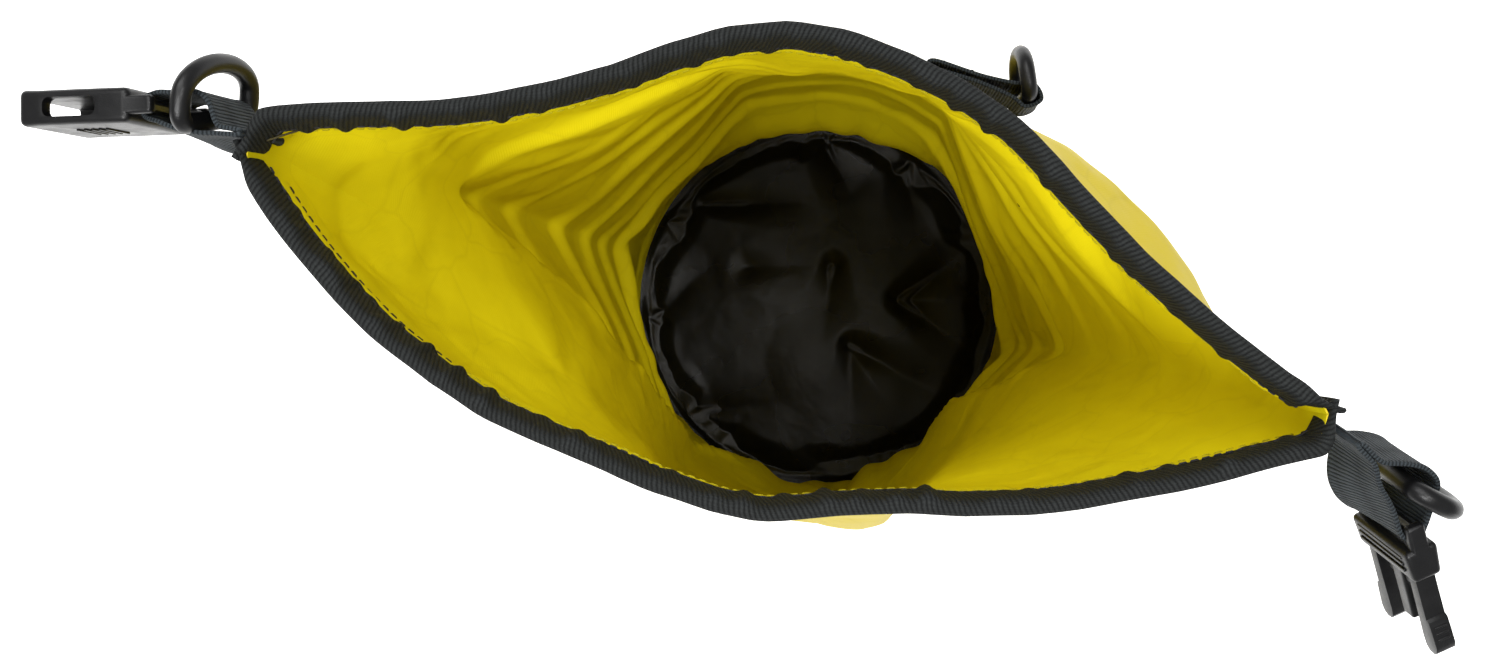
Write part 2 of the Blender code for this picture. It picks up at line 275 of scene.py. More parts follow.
def makeStage():
    camera = bpy.data.cameras.new("camera")
    camera.lens = cameraSet["lens"]
    camera.sensor_width = 36.0
    camera.clip_start = 0.01
    eye = bpy.data.objects.new("camera", camera)
    scene.collection.objects.link(eye)
    back = -Vector(cameraSet["aim"]).normalized()
    right = Vector(cameraSet["imageUp"]).cross(back).normalized()
    turn = Matrix((right, back.cross(right), back)).transposed().to_4x4()
    eye.matrix_world = Matrix.Translation(Vector(cameraSet["place"])) @ turn
    scene.camera = eye

    deselectAll()
    bpy.ops.mesh.primitive_plane_add(size=8.0, location=(0, 0, -0.0004))
    floor = bpy.context.active_object
    floor.name = "floor"
    paper = bpy.data.materials.new("paleFloor")
    paper.use_nodes = True
    shader = paper.node_tree.nodes["Principled BSDF"]
    shader.inputs["Base Color"].default_value = (0.93, 0.93, 0.925, 1)
    shader.inputs["Roughness"].default_value = 0.9
    shader.inputs["Emission Color"].default_value = (1, 1, 1, 1)
    shader.inputs["Emission Strength"].default_value = floorGlow
    setMaterials(floor, paper)

    for name, values in lightSet.items():
        lamp = bpy.data.lights.new(name, "AREA")
        lamp.size = values["size"]
        lamp.energy = values["power"]
        stand = bpy.data.objects.new(name, lamp)
        scene.collection.objects.link(stand)
        stand.location = values["place"]
        towards = Vector((0, 0, 0.35)) - Vector(values["place"])
        stand.rotation_euler = towards.to_track_quat("-Z", "Y").to_euler()
    world = bpy.data.worlds.new("softRoom")
    scene.world = world
    world.use_nodes = True
    world.node_tree.nodes["Background"].inputs["Color"].default_value = (1.0, 1.0, 1.0, 1)
    world.node_tree.nodes["Background"].inputs["Strength"].default_value = roomStrength
    scene.view_settings.view_transform = "Standard"    # the coated yellow keeps its strength


makeStage()
print("stage ready")


# shader effects that several finishes share

def newGroup(name, inputs, outputs):
    group = bpy.data.node_groups.new(name, "ShaderNodeTree")
    for label, kind, value in inputs:
        socket = group.interface.new_socket(label, in_out="INPUT", socket_type=kind)
        if value is not None:
            socket.default_value = value
    for label in outputs:
        group.interface.new_socket(label, in_out="OUTPUT", socket_type="NodeSocketFloat")
    return group, group.nodes.new("NodeGroupInput"), group.nodes.new("NodeGroupOutput")


def addMath(tree, operation, a, b=None):
    node = tree.nodes.new("ShaderNodeMath")
    node.operation = operation
    for slot, value in enumerate((a, b)):
        if isinstance(value, (int, float)):
            node.inputs[slot].default_value = value
        elif value is not None:
            tree.links.new(value, node.inputs[slot])
    return node.outputs[0]


def addShare(tree, base, value, share):
    # base, and a share of another value
    return addMath(tree, "ADD", base, addMath(tree, "MULTIPLY", value, share))


def addNoise(tree, coords, scale, detail=3.0, roughness=0.5):
    node = tree.nodes.new("ShaderNodeTexNoise")
    node.inputs["Detail"].default_value = detail
    node.inputs["Roughness"].default_value = roughness
    tree.links.new(coords, node.inputs["Vector"])
    if isinstance(scale, (int, float)):
        node.inputs["Scale"].default_value = scale
    else:
        tree.links.new(scale, node.inputs["Scale"])
    return node.outputs["Fac"]


def addRange(tree, value, fromLow, fromHigh, toLow, toHigh):
    node = tree.nodes.new("ShaderNodeMapRange")
    tree.links.new(value, node.inputs["Value"])
    labels = ("From Min", "From Max", "To Min", "To Max")
    for label, number in zip(labels, (fromLow, fromHigh, toLow, toHigh)):
        node.inputs[label].default_value = number
    return node.outputs["Result"]


def addMix(tree, factor, first, second):
    node = tree.nodes.new("ShaderNodeMix")
    node.data_type = "RGBA"
    tree.links.new(factor, node.inputs[0])
    for slot, value in ((6, first), (7, second)):
        if isinstance(value, tuple):
            node.inputs[slot].default_value = (*value, 1.0)
        else:
            tree.links.new(value, node.inputs[slot])
    return node.outputs[2]


def makeRibGroup():
    # cross ribs with a finer thread over them, on a map in millimetres; Shade paints the grooves darker and
    # the crests lighter, a painted shade and painted highlight
    group, source, sink = newGroup("crossRibs", [
        ("Map", "NodeSocketVector", None), ("Pitch", "NodeSocketFloat", 1.4),
        ("Slant", "NodeSocketFloat", 0.2), ("Thread", "NodeSocketFloat", 0.6)], ["Height", "Shade"])
    split = group.nodes.new("ShaderNodeSeparateXYZ")
    group.links.new(source.outputs["Map"], split.inputs[0])
    along, across = split.outputs[0], split.outputs[1]
    shifted = addShare(group, along, across, source.outputs["Slant"])
    shifted = addShare(group, shifted, addNoise(group, source.outputs["Map"], 0.5, 2.0), 0.7)
    phase = addMath(group, "DIVIDE", shifted, source.outputs["Pitch"])
    rib = addMath(group, "ABSOLUTE", addMath(group, "SINE", addMath(group, "MULTIPLY", phase, math.pi)))
    cross = addMath(group, "DIVIDE", across, source.outputs["Thread"])
    thread = addMath(group, "ABSOLUTE", addMath(group, "SINE", addMath(group, "MULTIPLY", cross, math.pi)))
    fuzz = addNoise(group, source.outputs["Map"], 2.6, 3.0, 0.7)
    height = addShare(group, addShare(group, rib, thread, 0.25), fuzz, 0.6)
    group.links.new(height, sink.inputs["Height"])
    # painted shade in the grooves and painted highlight on the crests, from the rib height
    group.links.new(addRange(group, height, 0.5, 1.65, 0.0, 1.0), sink.inputs["Shade"])
    return group


def makeGrainGroup():
    # moulded surface: fine pebble, faint flow marks and rubbed spots
    group, source, sink = newGroup("mouldedGrain", [
        ("Place", "NodeSocketVector", None), ("Pebble", "NodeSocketFloat", 2600.0)],
        ["Height", "Gloss", "Scuff"])
    pebble = addNoise(group, source.outputs["Place"], source.outputs["Pebble"], 2.0)
    flow = addNoise(group, source.outputs["Place"], 140.0, 4.0, 0.6)
    spots = addNoise(group, source.outputs["Place"], 420.0, 6.0, 0.75)
    group.links.new(addShare(group, pebble, flow, 0.6), sink.inputs["Height"])
    group.links.new(flow, sink.inputs["Gloss"])
    group.links.new(addRange(group, spots, 0.62, 0.75, 0.0, 1.0), sink.inputs["Scuff"])
    return group


def makeCoatingGroup():
    # coated cloth: plain weave under the film, soft dents, long mottling and thin crease lines; the crease
    # lines' mask is used for painted shade and painted highlight
    group, source, sink = newGroup("coatedCloth", [
        ("Place", "NodeSocketVector", None), ("Map", "NodeSocketVector", None),
        ("Weave", "NodeSocketFloat", 0.5), ("Crease", "NodeSocketFloat", 60.0)],
        ["Height", "Mottle", "Crease"])
    split = group.nodes.new("ShaderNodeSeparateXYZ")
    group.links.new(source.outputs["Map"], split.inputs[0])
    threads = []
    for output in (split.outputs[0], split.outputs[1]):
        phase = addMath(group, "DIVIDE", output, source.outputs["Weave"])
        threads.append(addMath(group, "SINE", addMath(group, "MULTIPLY", phase, math.pi)))
    weave = addMath(group, "MULTIPLY", threads[0], threads[1])
    warp = addMath(group, "MULTIPLY", addNoise(group, source.outputs["Place"], 20.0, 3.0), 0.05)
    shift = group.nodes.new("ShaderNodeVectorMath")
    shift.operation = "ADD"
    group.links.new(source.outputs["Place"], shift.inputs[0])
    group.links.new(warp, shift.inputs[1])
    cell = group.nodes.new("ShaderNodeTexVoronoi")
    cell.feature = "DISTANCE_TO_EDGE"
    group.links.new(shift.outputs[0], cell.inputs["Vector"])
    group.links.new(source.outputs["Crease"], cell.inputs["Scale"])
    soft = addNoise(group, source.outputs["Place"], 60.0, 2.0)
    height = addShare(group, addShare(group, soft, cell.outputs["Distance"], 0.8), weave, 0.04)
    group.links.new(height, sink.inputs["Height"])
    group.links.new(addNoise(group, source.outputs["Place"], 12.0, 4.0), sink.inputs["Mottle"])
    # mask of the thin crease lines, used to paint crease shade and crease highlight into the colour
    group.links.new(addRange(group, cell.outputs["Distance"], 0.0, 0.035, 1.0, 0.0), sink.inputs["Crease"])
    return group


ribGroup = makeRibGroup()
grainGroup = makeGrainGroup()
coatingGroup = makeCoatingGroup()


# one material for each finish

def startMaterial(name, colour, roughness):
    material = bpy.data.materials.new(name)
    material.use_nodes = True
    tree = material.node_tree
    shader = tree.nodes["Principled BSDF"]
    shader.inputs["Base Color"].default_value = (*colour, 1)
    shader.inputs["Roughness"].default_value = roughness
    return material, tree, shader, tree.nodes.new("ShaderNodeTexCoord")


def placeGroup(tree, group, **links):
    node = tree.nodes.new("ShaderNodeGroup")
    node.node_tree = group
    for label, value in links.items():
        if isinstance(value, (int, float)):
            node.inputs[label].default_value = value
        else:
            tree.links.new(value, node.inputs[label])
    return node


def addBump(tree, shader, height, distance):
    bump = tree.nodes.new("ShaderNodeBump")
    bump.inputs["Strength"].default_value = 1.0
    bump.inputs["Distance"].default_value = distance
    tree.links.new(height, bump.inputs["Height"])
    tree.links.new(bump.outputs["Normal"], shader.inputs["Normal"])


def mapInMillimetres(tree, coords):
    scaled = tree.nodes.new("ShaderNodeMapping")
    scaled.inputs["Scale"].default_value = (1000, 1000, 1000)
    tree.links.new(coords.outputs["UV"], scaled.inputs["Vector"])
    return scaled.outputs["Vector"]


def coatedMaterial(name, light, deep, creaseShadeHighlightColour, values):
    material, tree, shader, coords = startMaterial(name, light, values["roughness"])
    cloth = placeGroup(tree, coatingGroup, Place=coords.outputs["Object"], Map=mapInMillimetres(tree, coords),
                       Weave=values["weave"], Crease=values["crease"])
    body = addMix(tree, addRange(tree, cloth.outputs["Mottle"], 0.35, 0.7, 0.0, 1.0), light, deep)
    # thin crease lines in the colour: painted shade on the yellow cloth and the seam film, painted highlight
    # with some crease whitening on the black cloth
    mark = addMath(tree, "MULTIPLY", cloth.outputs["Crease"], values["creaseShadeHighlightShare"])
    tree.links.new(addMix(tree, mark, body, creaseShadeHighlightColour), shader.inputs["Base Color"])
    rough = values["roughness"]
    tree.links.new(addRange(tree, cloth.outputs["Mottle"], 0.3, 0.7, rough - 0.06, rough + 0.07),
                   shader.inputs["Roughness"])
    shader.inputs["Specular IOR Level"].default_value = values["gloss"]
    shader.inputs["IOR"].default_value = values.get("ior", 1.4)
    addBump(tree, shader, cloth.outputs["Height"], values["bump"])
    return material


def ribbedMaterial(name, dark, ribCrestHighlight, values):
    material, tree, shader, coords = startMaterial(name, dark, 0.85)
    ribs = placeGroup(tree, ribGroup, Map=mapInMillimetres(tree, coords), Pitch=values["pitch"],
                      Slant=values["slant"], Thread=values["thread"])
    # colour from the groove colour to the crest colour: painted shade and painted highlight along the ribs
    tree.links.new(addMix(tree, ribs.outputs["Shade"], dark, ribCrestHighlight), shader.inputs["Base Color"])
    tree.links.new(addRange(tree, ribs.outputs["Shade"], 0, 1, 0.95, 0.7), shader.inputs["Roughness"])
    shader.inputs["Specular IOR Level"].default_value = 0.3
    addBump(tree, shader, ribs.outputs["Height"], values["bump"])
    return material


def plasticMaterial(name, colour, worn, roughness):
    material, tree, shader, coords = startMaterial(name, colour, roughness)
    grain = placeGroup(tree, grainGroup, Place=coords.outputs["Object"])
    mark = addMath(tree, "MULTIPLY", grain.outputs["Scuff"], 0.35)
    tree.links.new(addMix(tree, mark, colour, worn), shader.inputs["Base Color"])
    tree.links.new(addRange(tree, grain.outputs["Gloss"], 0.3, 0.7, roughness - 0.07, roughness + 0.08),
                   shader.inputs["Roughness"])
    shader.inputs["Specular IOR Level"].default_value = 0.3
    addBump(tree, shader, grain.outputs["Height"], 0.00005)
    return material


# the third colour of each coated finish is its crease colour: darker painted shade on the yellow finishes and
# the seam film, lighter painted highlight on the black one
yellowInside = coatedMaterial(
    "coatedYellowInside", (0.80, 0.70, 0.009), (0.74, 0.63, 0.008), (0.55, 0.45, 0.006),
    {"roughness": 0.55, "weave": 0.5, "crease": 26.0, "creaseShadeHighlightShare": 0.18, "gloss": 0.4, "ior": 1.15,
     "bump": 0.0006})
yellowOutside = coatedMaterial(
    "coatedYellowOutside", (0.56, 0.44, 0.016), (0.51, 0.39, 0.014), (0.38, 0.29, 0.010),
    {"roughness": 0.5, "weave": 0.5, "crease": 26.0, "creaseShadeHighlightShare": 0.2, "gloss": 0.12, "bump": 0.0006})
blackCoated = coatedMaterial(
    "coatedBlack", (0.0035, 0.0033, 0.0028), (0.005, 0.0047, 0.004), (0.009, 0.009, 0.008),
    {"roughness": 0.27, "weave": 0.5, "crease": 20.0, "creaseShadeHighlightShare": 0.2, "gloss": 0.32, "bump": 0.0005})
seamFilm = coatedMaterial(
    "seamFilm", (0.52, 0.43, 0.04), (0.47, 0.39, 0.035), (0.40, 0.32, 0.03),
    {"roughness": 0.4, "weave": 0.6, "crease": 70.0, "creaseShadeHighlightShare": 0.3, "gloss": 0.5, "bump": 0.0003})
# in each ribbed finish the first colour is the groove colour with painted shade, the second the painted
# highlight on the rib crests
edgeTape = ribbedMaterial("wovenEdgeTape", (0.0018, 0.0022, 0.0022), (0.0115, 0.0135, 0.0132),
                          {"pitch": 1.5, "slant": 0.3, "thread": 0.8, "bump": 0.0003})
ribbedStrap = ribbedMaterial("ribbedStrap", (0.004, 0.0055, 0.0065), (0.033, 0.042, 0.048),
                             {"pitch": 1.15, "slant": 0.0, "thread": 3.0, "bump": 0.00035})
darkThread = ribbedMaterial("darkThread", (0.02, 0.016, 0.006), (0.08, 0.065, 0.02),
                            {"pitch": 0.4, "slant": 0.8, "thread": 0.3, "bump": 0.00005})
yellowThread = ribbedMaterial("yellowThread", (0.42, 0.36, 0.006), (0.62, 0.53, 0.01),
                              {"pitch": 0.4, "slant": 0.8, "thread": 0.3, "bump": 0.00005})
blackThread = ribbedMaterial("blackThread", (0.008, 0.008, 0.009), (0.05, 0.05, 0.055),
                             {"pitch": 0.4, "slant": 0.8, "thread": 0.3, "bump": 0.00005})
mouldedPlastic = plasticMaterial("mouldedPlastic", (0.0035, 0.0035, 0.0038), (0.014, 0.014, 0.014), 0.38)
print("materials ready")


# the fabric tube

bag = {"columns": 150, "rows": 148, "foot": 0.0022, "top": 0.5465, "hemFoot": 0.5215, "halfRound": 0.3615,
       "thickness": 0.0005, "slack": -0.006, "frames": 12, "cap": 0.0030}
# how far the rim is drawn in: share of the way from the left corner to the right one, and millimetres
rimDraw = {
    "front": ((0, -2.0), (0.05, -1.6), (0.10, -0.5), (0.18, 0.2), (0.26, 2.3), (0.33, 3.2), (0.40, 4.8),
              (0.47, 3.5), (0.535, 1.6), (0.60, 4.2), (0.66, 5.0), (0.73, 3.4), (0.79, 1.8), (0.86, 0.9),
              (1, 0.6)),
    "back": ((0, -1.0), (0.05, -1.4), (0.16, 0.2), (0.29, 0.2), (0.36, 2.1), (0.49, 3.5), (0.60, 3.9),
             (0.67, 4.8), (0.73, 7.3), (0.81, 9.0), (0.90, 7.0), (0.96, 5.4), (1, 1.5)),
}
creases = {"levels": (0.503, 0.466, 0.426, 0.384, 0.336, 0.286, 0.238, 0.190, 0.150), "depth": 0.0050,
           "ledge": 0.0038}
# each diagonal fold is a line of (turn in degrees, height) with how far it stands inwards
diagonals = {
    "frontLeft": {"depth": 0.0120, "line": ((180, 0.425), (192, 0.345), (205, 0.325), (230, 0.235),
                                            (248, 0.125), (264, 0.075))},
    "frontRight": {"depth": 0.0085, "line": ((300, 0.055), (325, 0.080), (342, 0.199), (354, 0.277),
                                             (363, 0.30))},
}
# the side folds of the flat bag: the wall runs straight from each fold's turn to the turns at its two ends
sideFolds = {"left": {"turn": 180.0, "ends": (124.0, 247.0)}, "right": {"turn": 3.0, "ends": (-56.0, 69.0)}}
# where the wall flares out below the rim: turn in degrees, half its width, and how far
flares = ({"turn": 36.0, "half": 28.0, "out": 0.0078},)
depsgraph = bpy.context.evaluated_depsgraph_get()
panelTrees = [BVHTree.FromObject(frame["nodes"][name], depsgraph)
              for name in ("body_back_panel", "body_front_panel")]


def wallReach(angle, height):
    # inside of the wall as the frame has it, out from the bag's axis
    ray = Vector((math.cos(angle), math.sin(angle), 0))
    reached = [tree.ray_cast(Vector((0, 0, height)), ray, 0.4)[3] for tree in panelTrees]
    return min([distance for distance in reached if distance is not None], default=None)


def seamAngle(name, height):
    corners = [v.co for v in frame["nodes"][name].data.vertices]
    levels = sorted({round(c.z, 3) for c in corners})
    angles = []
    for level in levels:
        near = [c for c in corners if abs(c.z - level) < 0.002]
        middle = sum(near, Vector()) / len(near)
        angles.append(math.atan2(middle.y, middle.x))
    return float(np.interp(height, levels, np.unwrap(angles)))


def sectionRing(height, columns):
    # outline at a height, from the left seam along the front to the right seam and back
    left = seamAngle("side_seam_tape_left", height) % (2 * math.pi)
    right = seamAngle("side_seam_tape_right", height)
    halves = []
    for start, end in ((left, right + 2 * math.pi), (right, left)):
        points = []
        for angle in np.linspace(start, end, 220):
            reach = wallReach(angle, height)
            if reach:
                points.append((math.cos(angle) * reach, math.sin(angle) * reach))
        halves.append(evenly(points, columns // 2 + 1)[:-1])
    return np.vstack(halves)


def drawnIn(points, strength):
    # a closed outline moved towards its inside, each side by its own line of amounts
    along = np.roll(points, -1, axis=0) - np.roll(points, 1, axis=0)
    along /= np.linalg.norm(along, axis=1)[:, None]
    half = len(points) // 2
    shares = np.arange(half) / half
    front = np.interp(shares, *np.array(rimDraw["front"]).T)
    back = np.interp(shares + 1 / half, *np.array(rimDraw["back"]).T)[::-1]
    distance = np.concatenate([front, back]) * mm * strength
    return points + np.column_stack([-along[:, 1], along[:, 0]]) * distance[:, None]


def turnGap(a, b):
    return (a - b + 180) % 360 - 180


def diagonalLevel(fold, turn):
    # height of a diagonal fold at this turn, and how much of it is left towards its two ends
    turns = [t for t, level in fold["line"]]
    at = turn + 360 if turn + 360 <= turns[-1] + 30 else turn
    ends = smoothStep(turns[0] - 10, turns[0] + 2, at) * smoothStep(turns[-1] + 26, turns[-1] - 6, at)
    return float(np.interp(at, turns, [level for t, level in fold["line"]])), ends


def ledgeDepth(turn, height):
    # creases left by rolling: the wall steps in at each level, then leans back out below it
    nearSide = min(abs(turnGap(turn, fold["turn"])) for fold in sideFolds.values())
    strength = 0.4 + 0.6 * smoothStep(95, 25, nearSide)
    for fold in diagonals.values():
        level, ends = diagonalLevel(fold, turn)
        strength *= 1 - 0.9 * ends * smoothStep(-0.01, 0.02, height - level)
    depth = 0.0
    for k, level in enumerate(creases["levels"]):
        below = level + 0.004 * math.sin(1.9 * k + math.radians(turn) * 2) - height
        if below > 0:
            stepIn = min(below / creases["ledge"], 1.0)
            leanOut = 1 - min(max((below - creases["ledge"]) / 0.034, 0.0), 1.0)
            depth += creases["depth"] * stepIn * leanOut * (0.65 + 0.55 * math.sin(4.1 * k) ** 2)
    return depth * strength


def diagonalDepth(turn, height):
    depth = 0.0
    for fold in diagonals.values():
        level, ends = diagonalLevel(fold, turn)
        above = height - level
        shape = smoothStep(0.16, 0.0, above) if above > 0 else max(0.0, 1 + above / 0.007)
        depth += fold["depth"] * ends * shape
    return depth


def straightDepth(turn, height, reachRow):
    # how far the wall is drawn in to run straight between a side fold and the ends beside it
    turns, reaches = reachRow
    depth = 0.0
    for fold in sideFolds.values():
        for end in fold["ends"]:
            part = turnGap(turn, fold["turn"]) / (end - fold["turn"])
            if 0 < part < 1:
                near, far, here = np.interp([fold["turn"] % 360, end % 360, turn], turns, reaches, period=360)
                span = math.radians(abs(end - fold["turn"]))
                straight = near * far * math.sin(span) / (
                    near * math.sin(span * part) + far * math.sin(span * (1 - part)))
                depth = max(depth, here - straight)
    return depth * smoothStep(0.06, 0.20, height) * smoothStep(0.50, 0.40, height)


def flareOut(turn, height):
    # the wall leans out below the stiff rim where the mouth is drawn in
    out = 0.0
    for flare in flares:
        across = max(0.0, 1 - abs(turnGap(turn, flare["turn"]) / flare["half"]) ** 2)
        out += flare["out"] * across * smoothStep(0.522, 0.500, height) * smoothStep(0.36, 0.47, height)
    return out


def foldDepth(turn, height):
    # how far the wall is pushed inwards, in metres
    shelf = 0.015 * math.exp(-(turnGap(turn, 106) / 46) ** 4) * math.exp(-((height - 0.108) / 0.028) ** 2)
    front = 0.0050 * math.exp(-(turnGap(turn, 259) / 27) ** 4) * math.exp(-((height - 0.30) / 0.11) ** 4)
    low = smoothStep(0.20, 0.06, height)
    gathers = (0.0075 * abs(wander(turn * 0.10, height * 4, 1.0)) - 0.001) * low
    drape = 0.0030 * wander(turn * 0.03, height * 5 + turn * 0.03, 4.0)
    return ledgeDepth(turn, height) + diagonalDepth(turn, height) + shelf + front + gathers + drape


def makeTube():
    # the grid is wrapped into the tube, and its rows at the hem and at the base are held
    heights = np.linspace(bag["foot"], bag["top"], bag["rows"] + 1)
    rings = [sectionRing(h, bag["columns"]) for h in heights]
    rings = [drawnIn(r, smoothStep(0.44, 0.515, h)) for r, h in zip(rings, heights)]
    reaches = []
    for ring in rings:
        turns = np.degrees(np.arctan2(ring[:, 1], ring[:, 0])) % 360
        order = np.argsort(turns)
        reaches.append((turns[order], np.hypot(*ring.T)[order]))

    def place(column, row):
        height = float(heights[row])
        x, y = rings[row][column % bag["columns"]]
        angle = math.atan2(y, x)
        free = smoothStep(bag["foot"], 0.02, height) * smoothStep(bag["hemFoot"], 0.485, height)
        turn = math.degrees(angle) % 360
        depth = foldDepth(turn, height) + straightDepth(turn, height, reaches[row])
        reach = math.hypot(x, y) - depth * free + flareOut(turn, height)
        return Vector((math.cos(angle) * reach, math.sin(angle) * reach, height))

    tube = wrapGrid("bagTube", bag["columns"], bag["rows"], place, bag["halfRound"] * 2, bag["top"])
    held = tube.vertex_groups.new(name="held")
    ends = [v.index for v in tube.data.vertices if v.co.z > bag["hemFoot"] or v.co.z < bag["foot"] + 0.003]
    held.add(ends, 1.0, "REPLACE")
    return tube


def letGo(piece, slack, frames, cap, stiffness):
    # the cloth is a little larger than the space it hangs in, so it crumples by itself
    before = [v.co.copy() for v in piece.data.vertices]
    cloth = piece.modifiers.new("cloth", "CLOTH")
    values = cloth.settings
    values.quality = 5
    values.mass = 0.12
    values.tension_stiffness = stiffness
    values.compression_stiffness = stiffness
    values.shear_stiffness = stiffness * 0.5
    values.bending_stiffness = 0.4
    values.tension_damping = 12
    values.compression_damping = 12
    values.shear_damping = 12
    values.air_damping = 4
    values.vertex_group_mass = "held"
    values.shrink_min = slack
    values.effector_weights.gravity = 0.1
    cloth.collision_settings.use_collision = False
    cloth.point_cache.frame_start = 1
    cloth.point_cache.frame_end = frames
    for step in range(1, frames + 1):
        scene.frame_set(step)
    applyModifiers(piece)
    scene.frame_set(1)
    for vertex, old in zip(piece.data.vertices, before):
        moved = vertex.co - old
        if moved.length > cap:
            vertex.co = old + moved * (cap / moved.length)


def crumple(piece):
    # small soft dents between the folds
    piece.data.update()
    moves = []
    for vertex in piece.data.vertices:
        p = vertex.co
        free = smoothStep(0.003, 0.03, p.z) * smoothStep(0.523, 0.50, p.z)
        wide = noise.fractal(Vector((p.x * 22, p.y * 22, p.z * 12)), 1.0, 2.2, 2)
        moves.append(vertex.normal * (0.0009 * wide * free))
    for vertex, move in zip(piece.data.vertices, moves):
        vertex.co += move


def makeBody():
    tube = makeTube()
    letGo(tube, bag["slack"], bag["frames"], bag["cap"], 25)
    subdivide(tube)
    crumple(tube)
    mapping = tube.data.uv_layers.active.data
    front = set()
    for face in tube.data.polygons:
        middle = sum(mapping[k].uv[0] for k in face.loop_indices) / face.loop_total
        if middle < bag["halfRound"]:
            front.add(tuple(face.center))
    pickFaces(tube, lambda centre, normal: tuple(centre) in front)
    bpy.ops.mesh.separate(type="SELECTED")
    objectMode()
    frontPiece = [o for o in bpy.context.selected_objects if o is not tube][0]
    for side, panel in (("front", frontPiece), ("back", tube)):
        outwards = [face.normal.x * face.center.x + face.normal.y * face.center.y
                    for face in panel.data.polygons]
        if sum(outwards) < 0:
            editMode(panel)
            bpy.ops.mesh.flip_normals()
            objectMode()
        setMaterials(panel, yellowOutside, yellowInside)
        giveWall(panel, bag["thickness"], innerSlot=1)
        finishPiece(panel, side + "Panel", "bag", (yellowOutside, yellowInside),
                    ("body_" + side + "_panel",), 60)
    return frontPiece, tube


frontPanel, backPanel = makeBody()
print("fabric tube ready")


# thread: one stitch is modelled and copied along a line

def modelStitch(length, radius):
    deselectAll()
    bpy.ops.mesh.primitive_cylinder_add(vertices=6, radius=radius, depth=length * 0.7,
                                        end_fill_type="NOTHING", rotation=(0, math.pi / 2, 0))
    stitch = bpy.context.active_object
    settle(stitch, Matrix.Identity(4))
    for end in (-1, 1):
        editMode(stitch, "DESELECT")
        objectMode()
        for vertex in stitch.data.vertices:
            vertex.select = vertex.co.x * end > length * 0.3
        bpy.ops.object.mode_set(mode="EDIT")
        step = (end * length * 0.15, 0, -radius * 0.6)
        bpy.ops.mesh.extrude_region_move(TRANSFORM_OT_translate={"value": step})
        bpy.ops.transform.resize(value=(1, 0.45, 0.45))
        bpy.ops.mesh.edge_face_add()
        objectMode()
    return stitch


def stitchRow(name, places, material, body="bag", length=0.0026, radius=0.00032, skip=()):
    # places hold a point, the way along the row and the way out of the cloth, one for each stitch
    model = modelStitch(length, radius)
    copies = []
    for k, (point, along, out) in enumerate(places):
        if k in skip:
            continue
        copied = model.copy()
        copied.data = model.data.copy()
        scene.collection.objects.link(copied)
        x = Vector(along).normalized()
        y = Vector(out).cross(x).normalized()
        turn = Matrix((x, y, x.cross(y))).transposed().to_4x4()
        copied.data.transform(Matrix.Translation(Vector(point)) @ turn)
        copies.append(copied)
    bpy.data.objects.remove(model, do_unlink=True)
    row = joinPieces(copies[0], copies[1:])
    return finishPiece(row, name, body, (material,), angle=80)


# the hem inside the mouth, and the tape folded over the rim

rimRows = {"height": 0.5465, "columns": 180}
hem = {"low": 0.5225, "thickness": 0.0005, "stitchHeight": 0.5265, "stitchStep": 0.0036, "columns": 240,
       "cornerGap": 0.026}
edging = {"columns": 300, "past": 0.008, "wall": 0.0009, "lean": 0.0006, "pucker": 0.0010,
          "stitchFaces": (-0.00295, 0.00185), "stitchDrop": 0.0095,
          "profile": ((1.5, -13.6), (1.55, -11.5), (1.9, -7.5), (2.4, -3.2), (2.4, -0.9), (1.8, 0.4),
                      (0.8, 0.8), (0.3, 1.1), (-0.2, 0.8), (-1.3, 0.4), (-2.1, -0.8), (-2.6, -3.0),
                      (-2.8, -7.5), (-2.9, -11.5), (-2.9, -13.6))}
rimRing = drawnIn(sectionRing(rimRows["height"], rimRows["columns"]), 1.0)


def rimSide(side):
    # the rim's line from the left corner to the right one, with the way outwards at each point
    half = rimRows["columns"] // 2
    if side == "front":
        line = np.vstack([rimRing[:half], rimRing[half:half + 1]])
    else:
        line = np.vstack([rimRing[half:], rimRing[:1]])[::-1]
    line = evenly(line, half + 1)
    along = np.gradient(line, axis=0)
    along /= np.linalg.norm(along, axis=1)[:, None]
    out = np.column_stack([along[:, 1], -along[:, 0]]) * (1 if side == "front" else -1)
    return line, along, out


def sampled(values, share):
    return Vector([float(np.interp(share, np.linspace(0, 1, len(values)), values[:, k])) for k in range(2)])


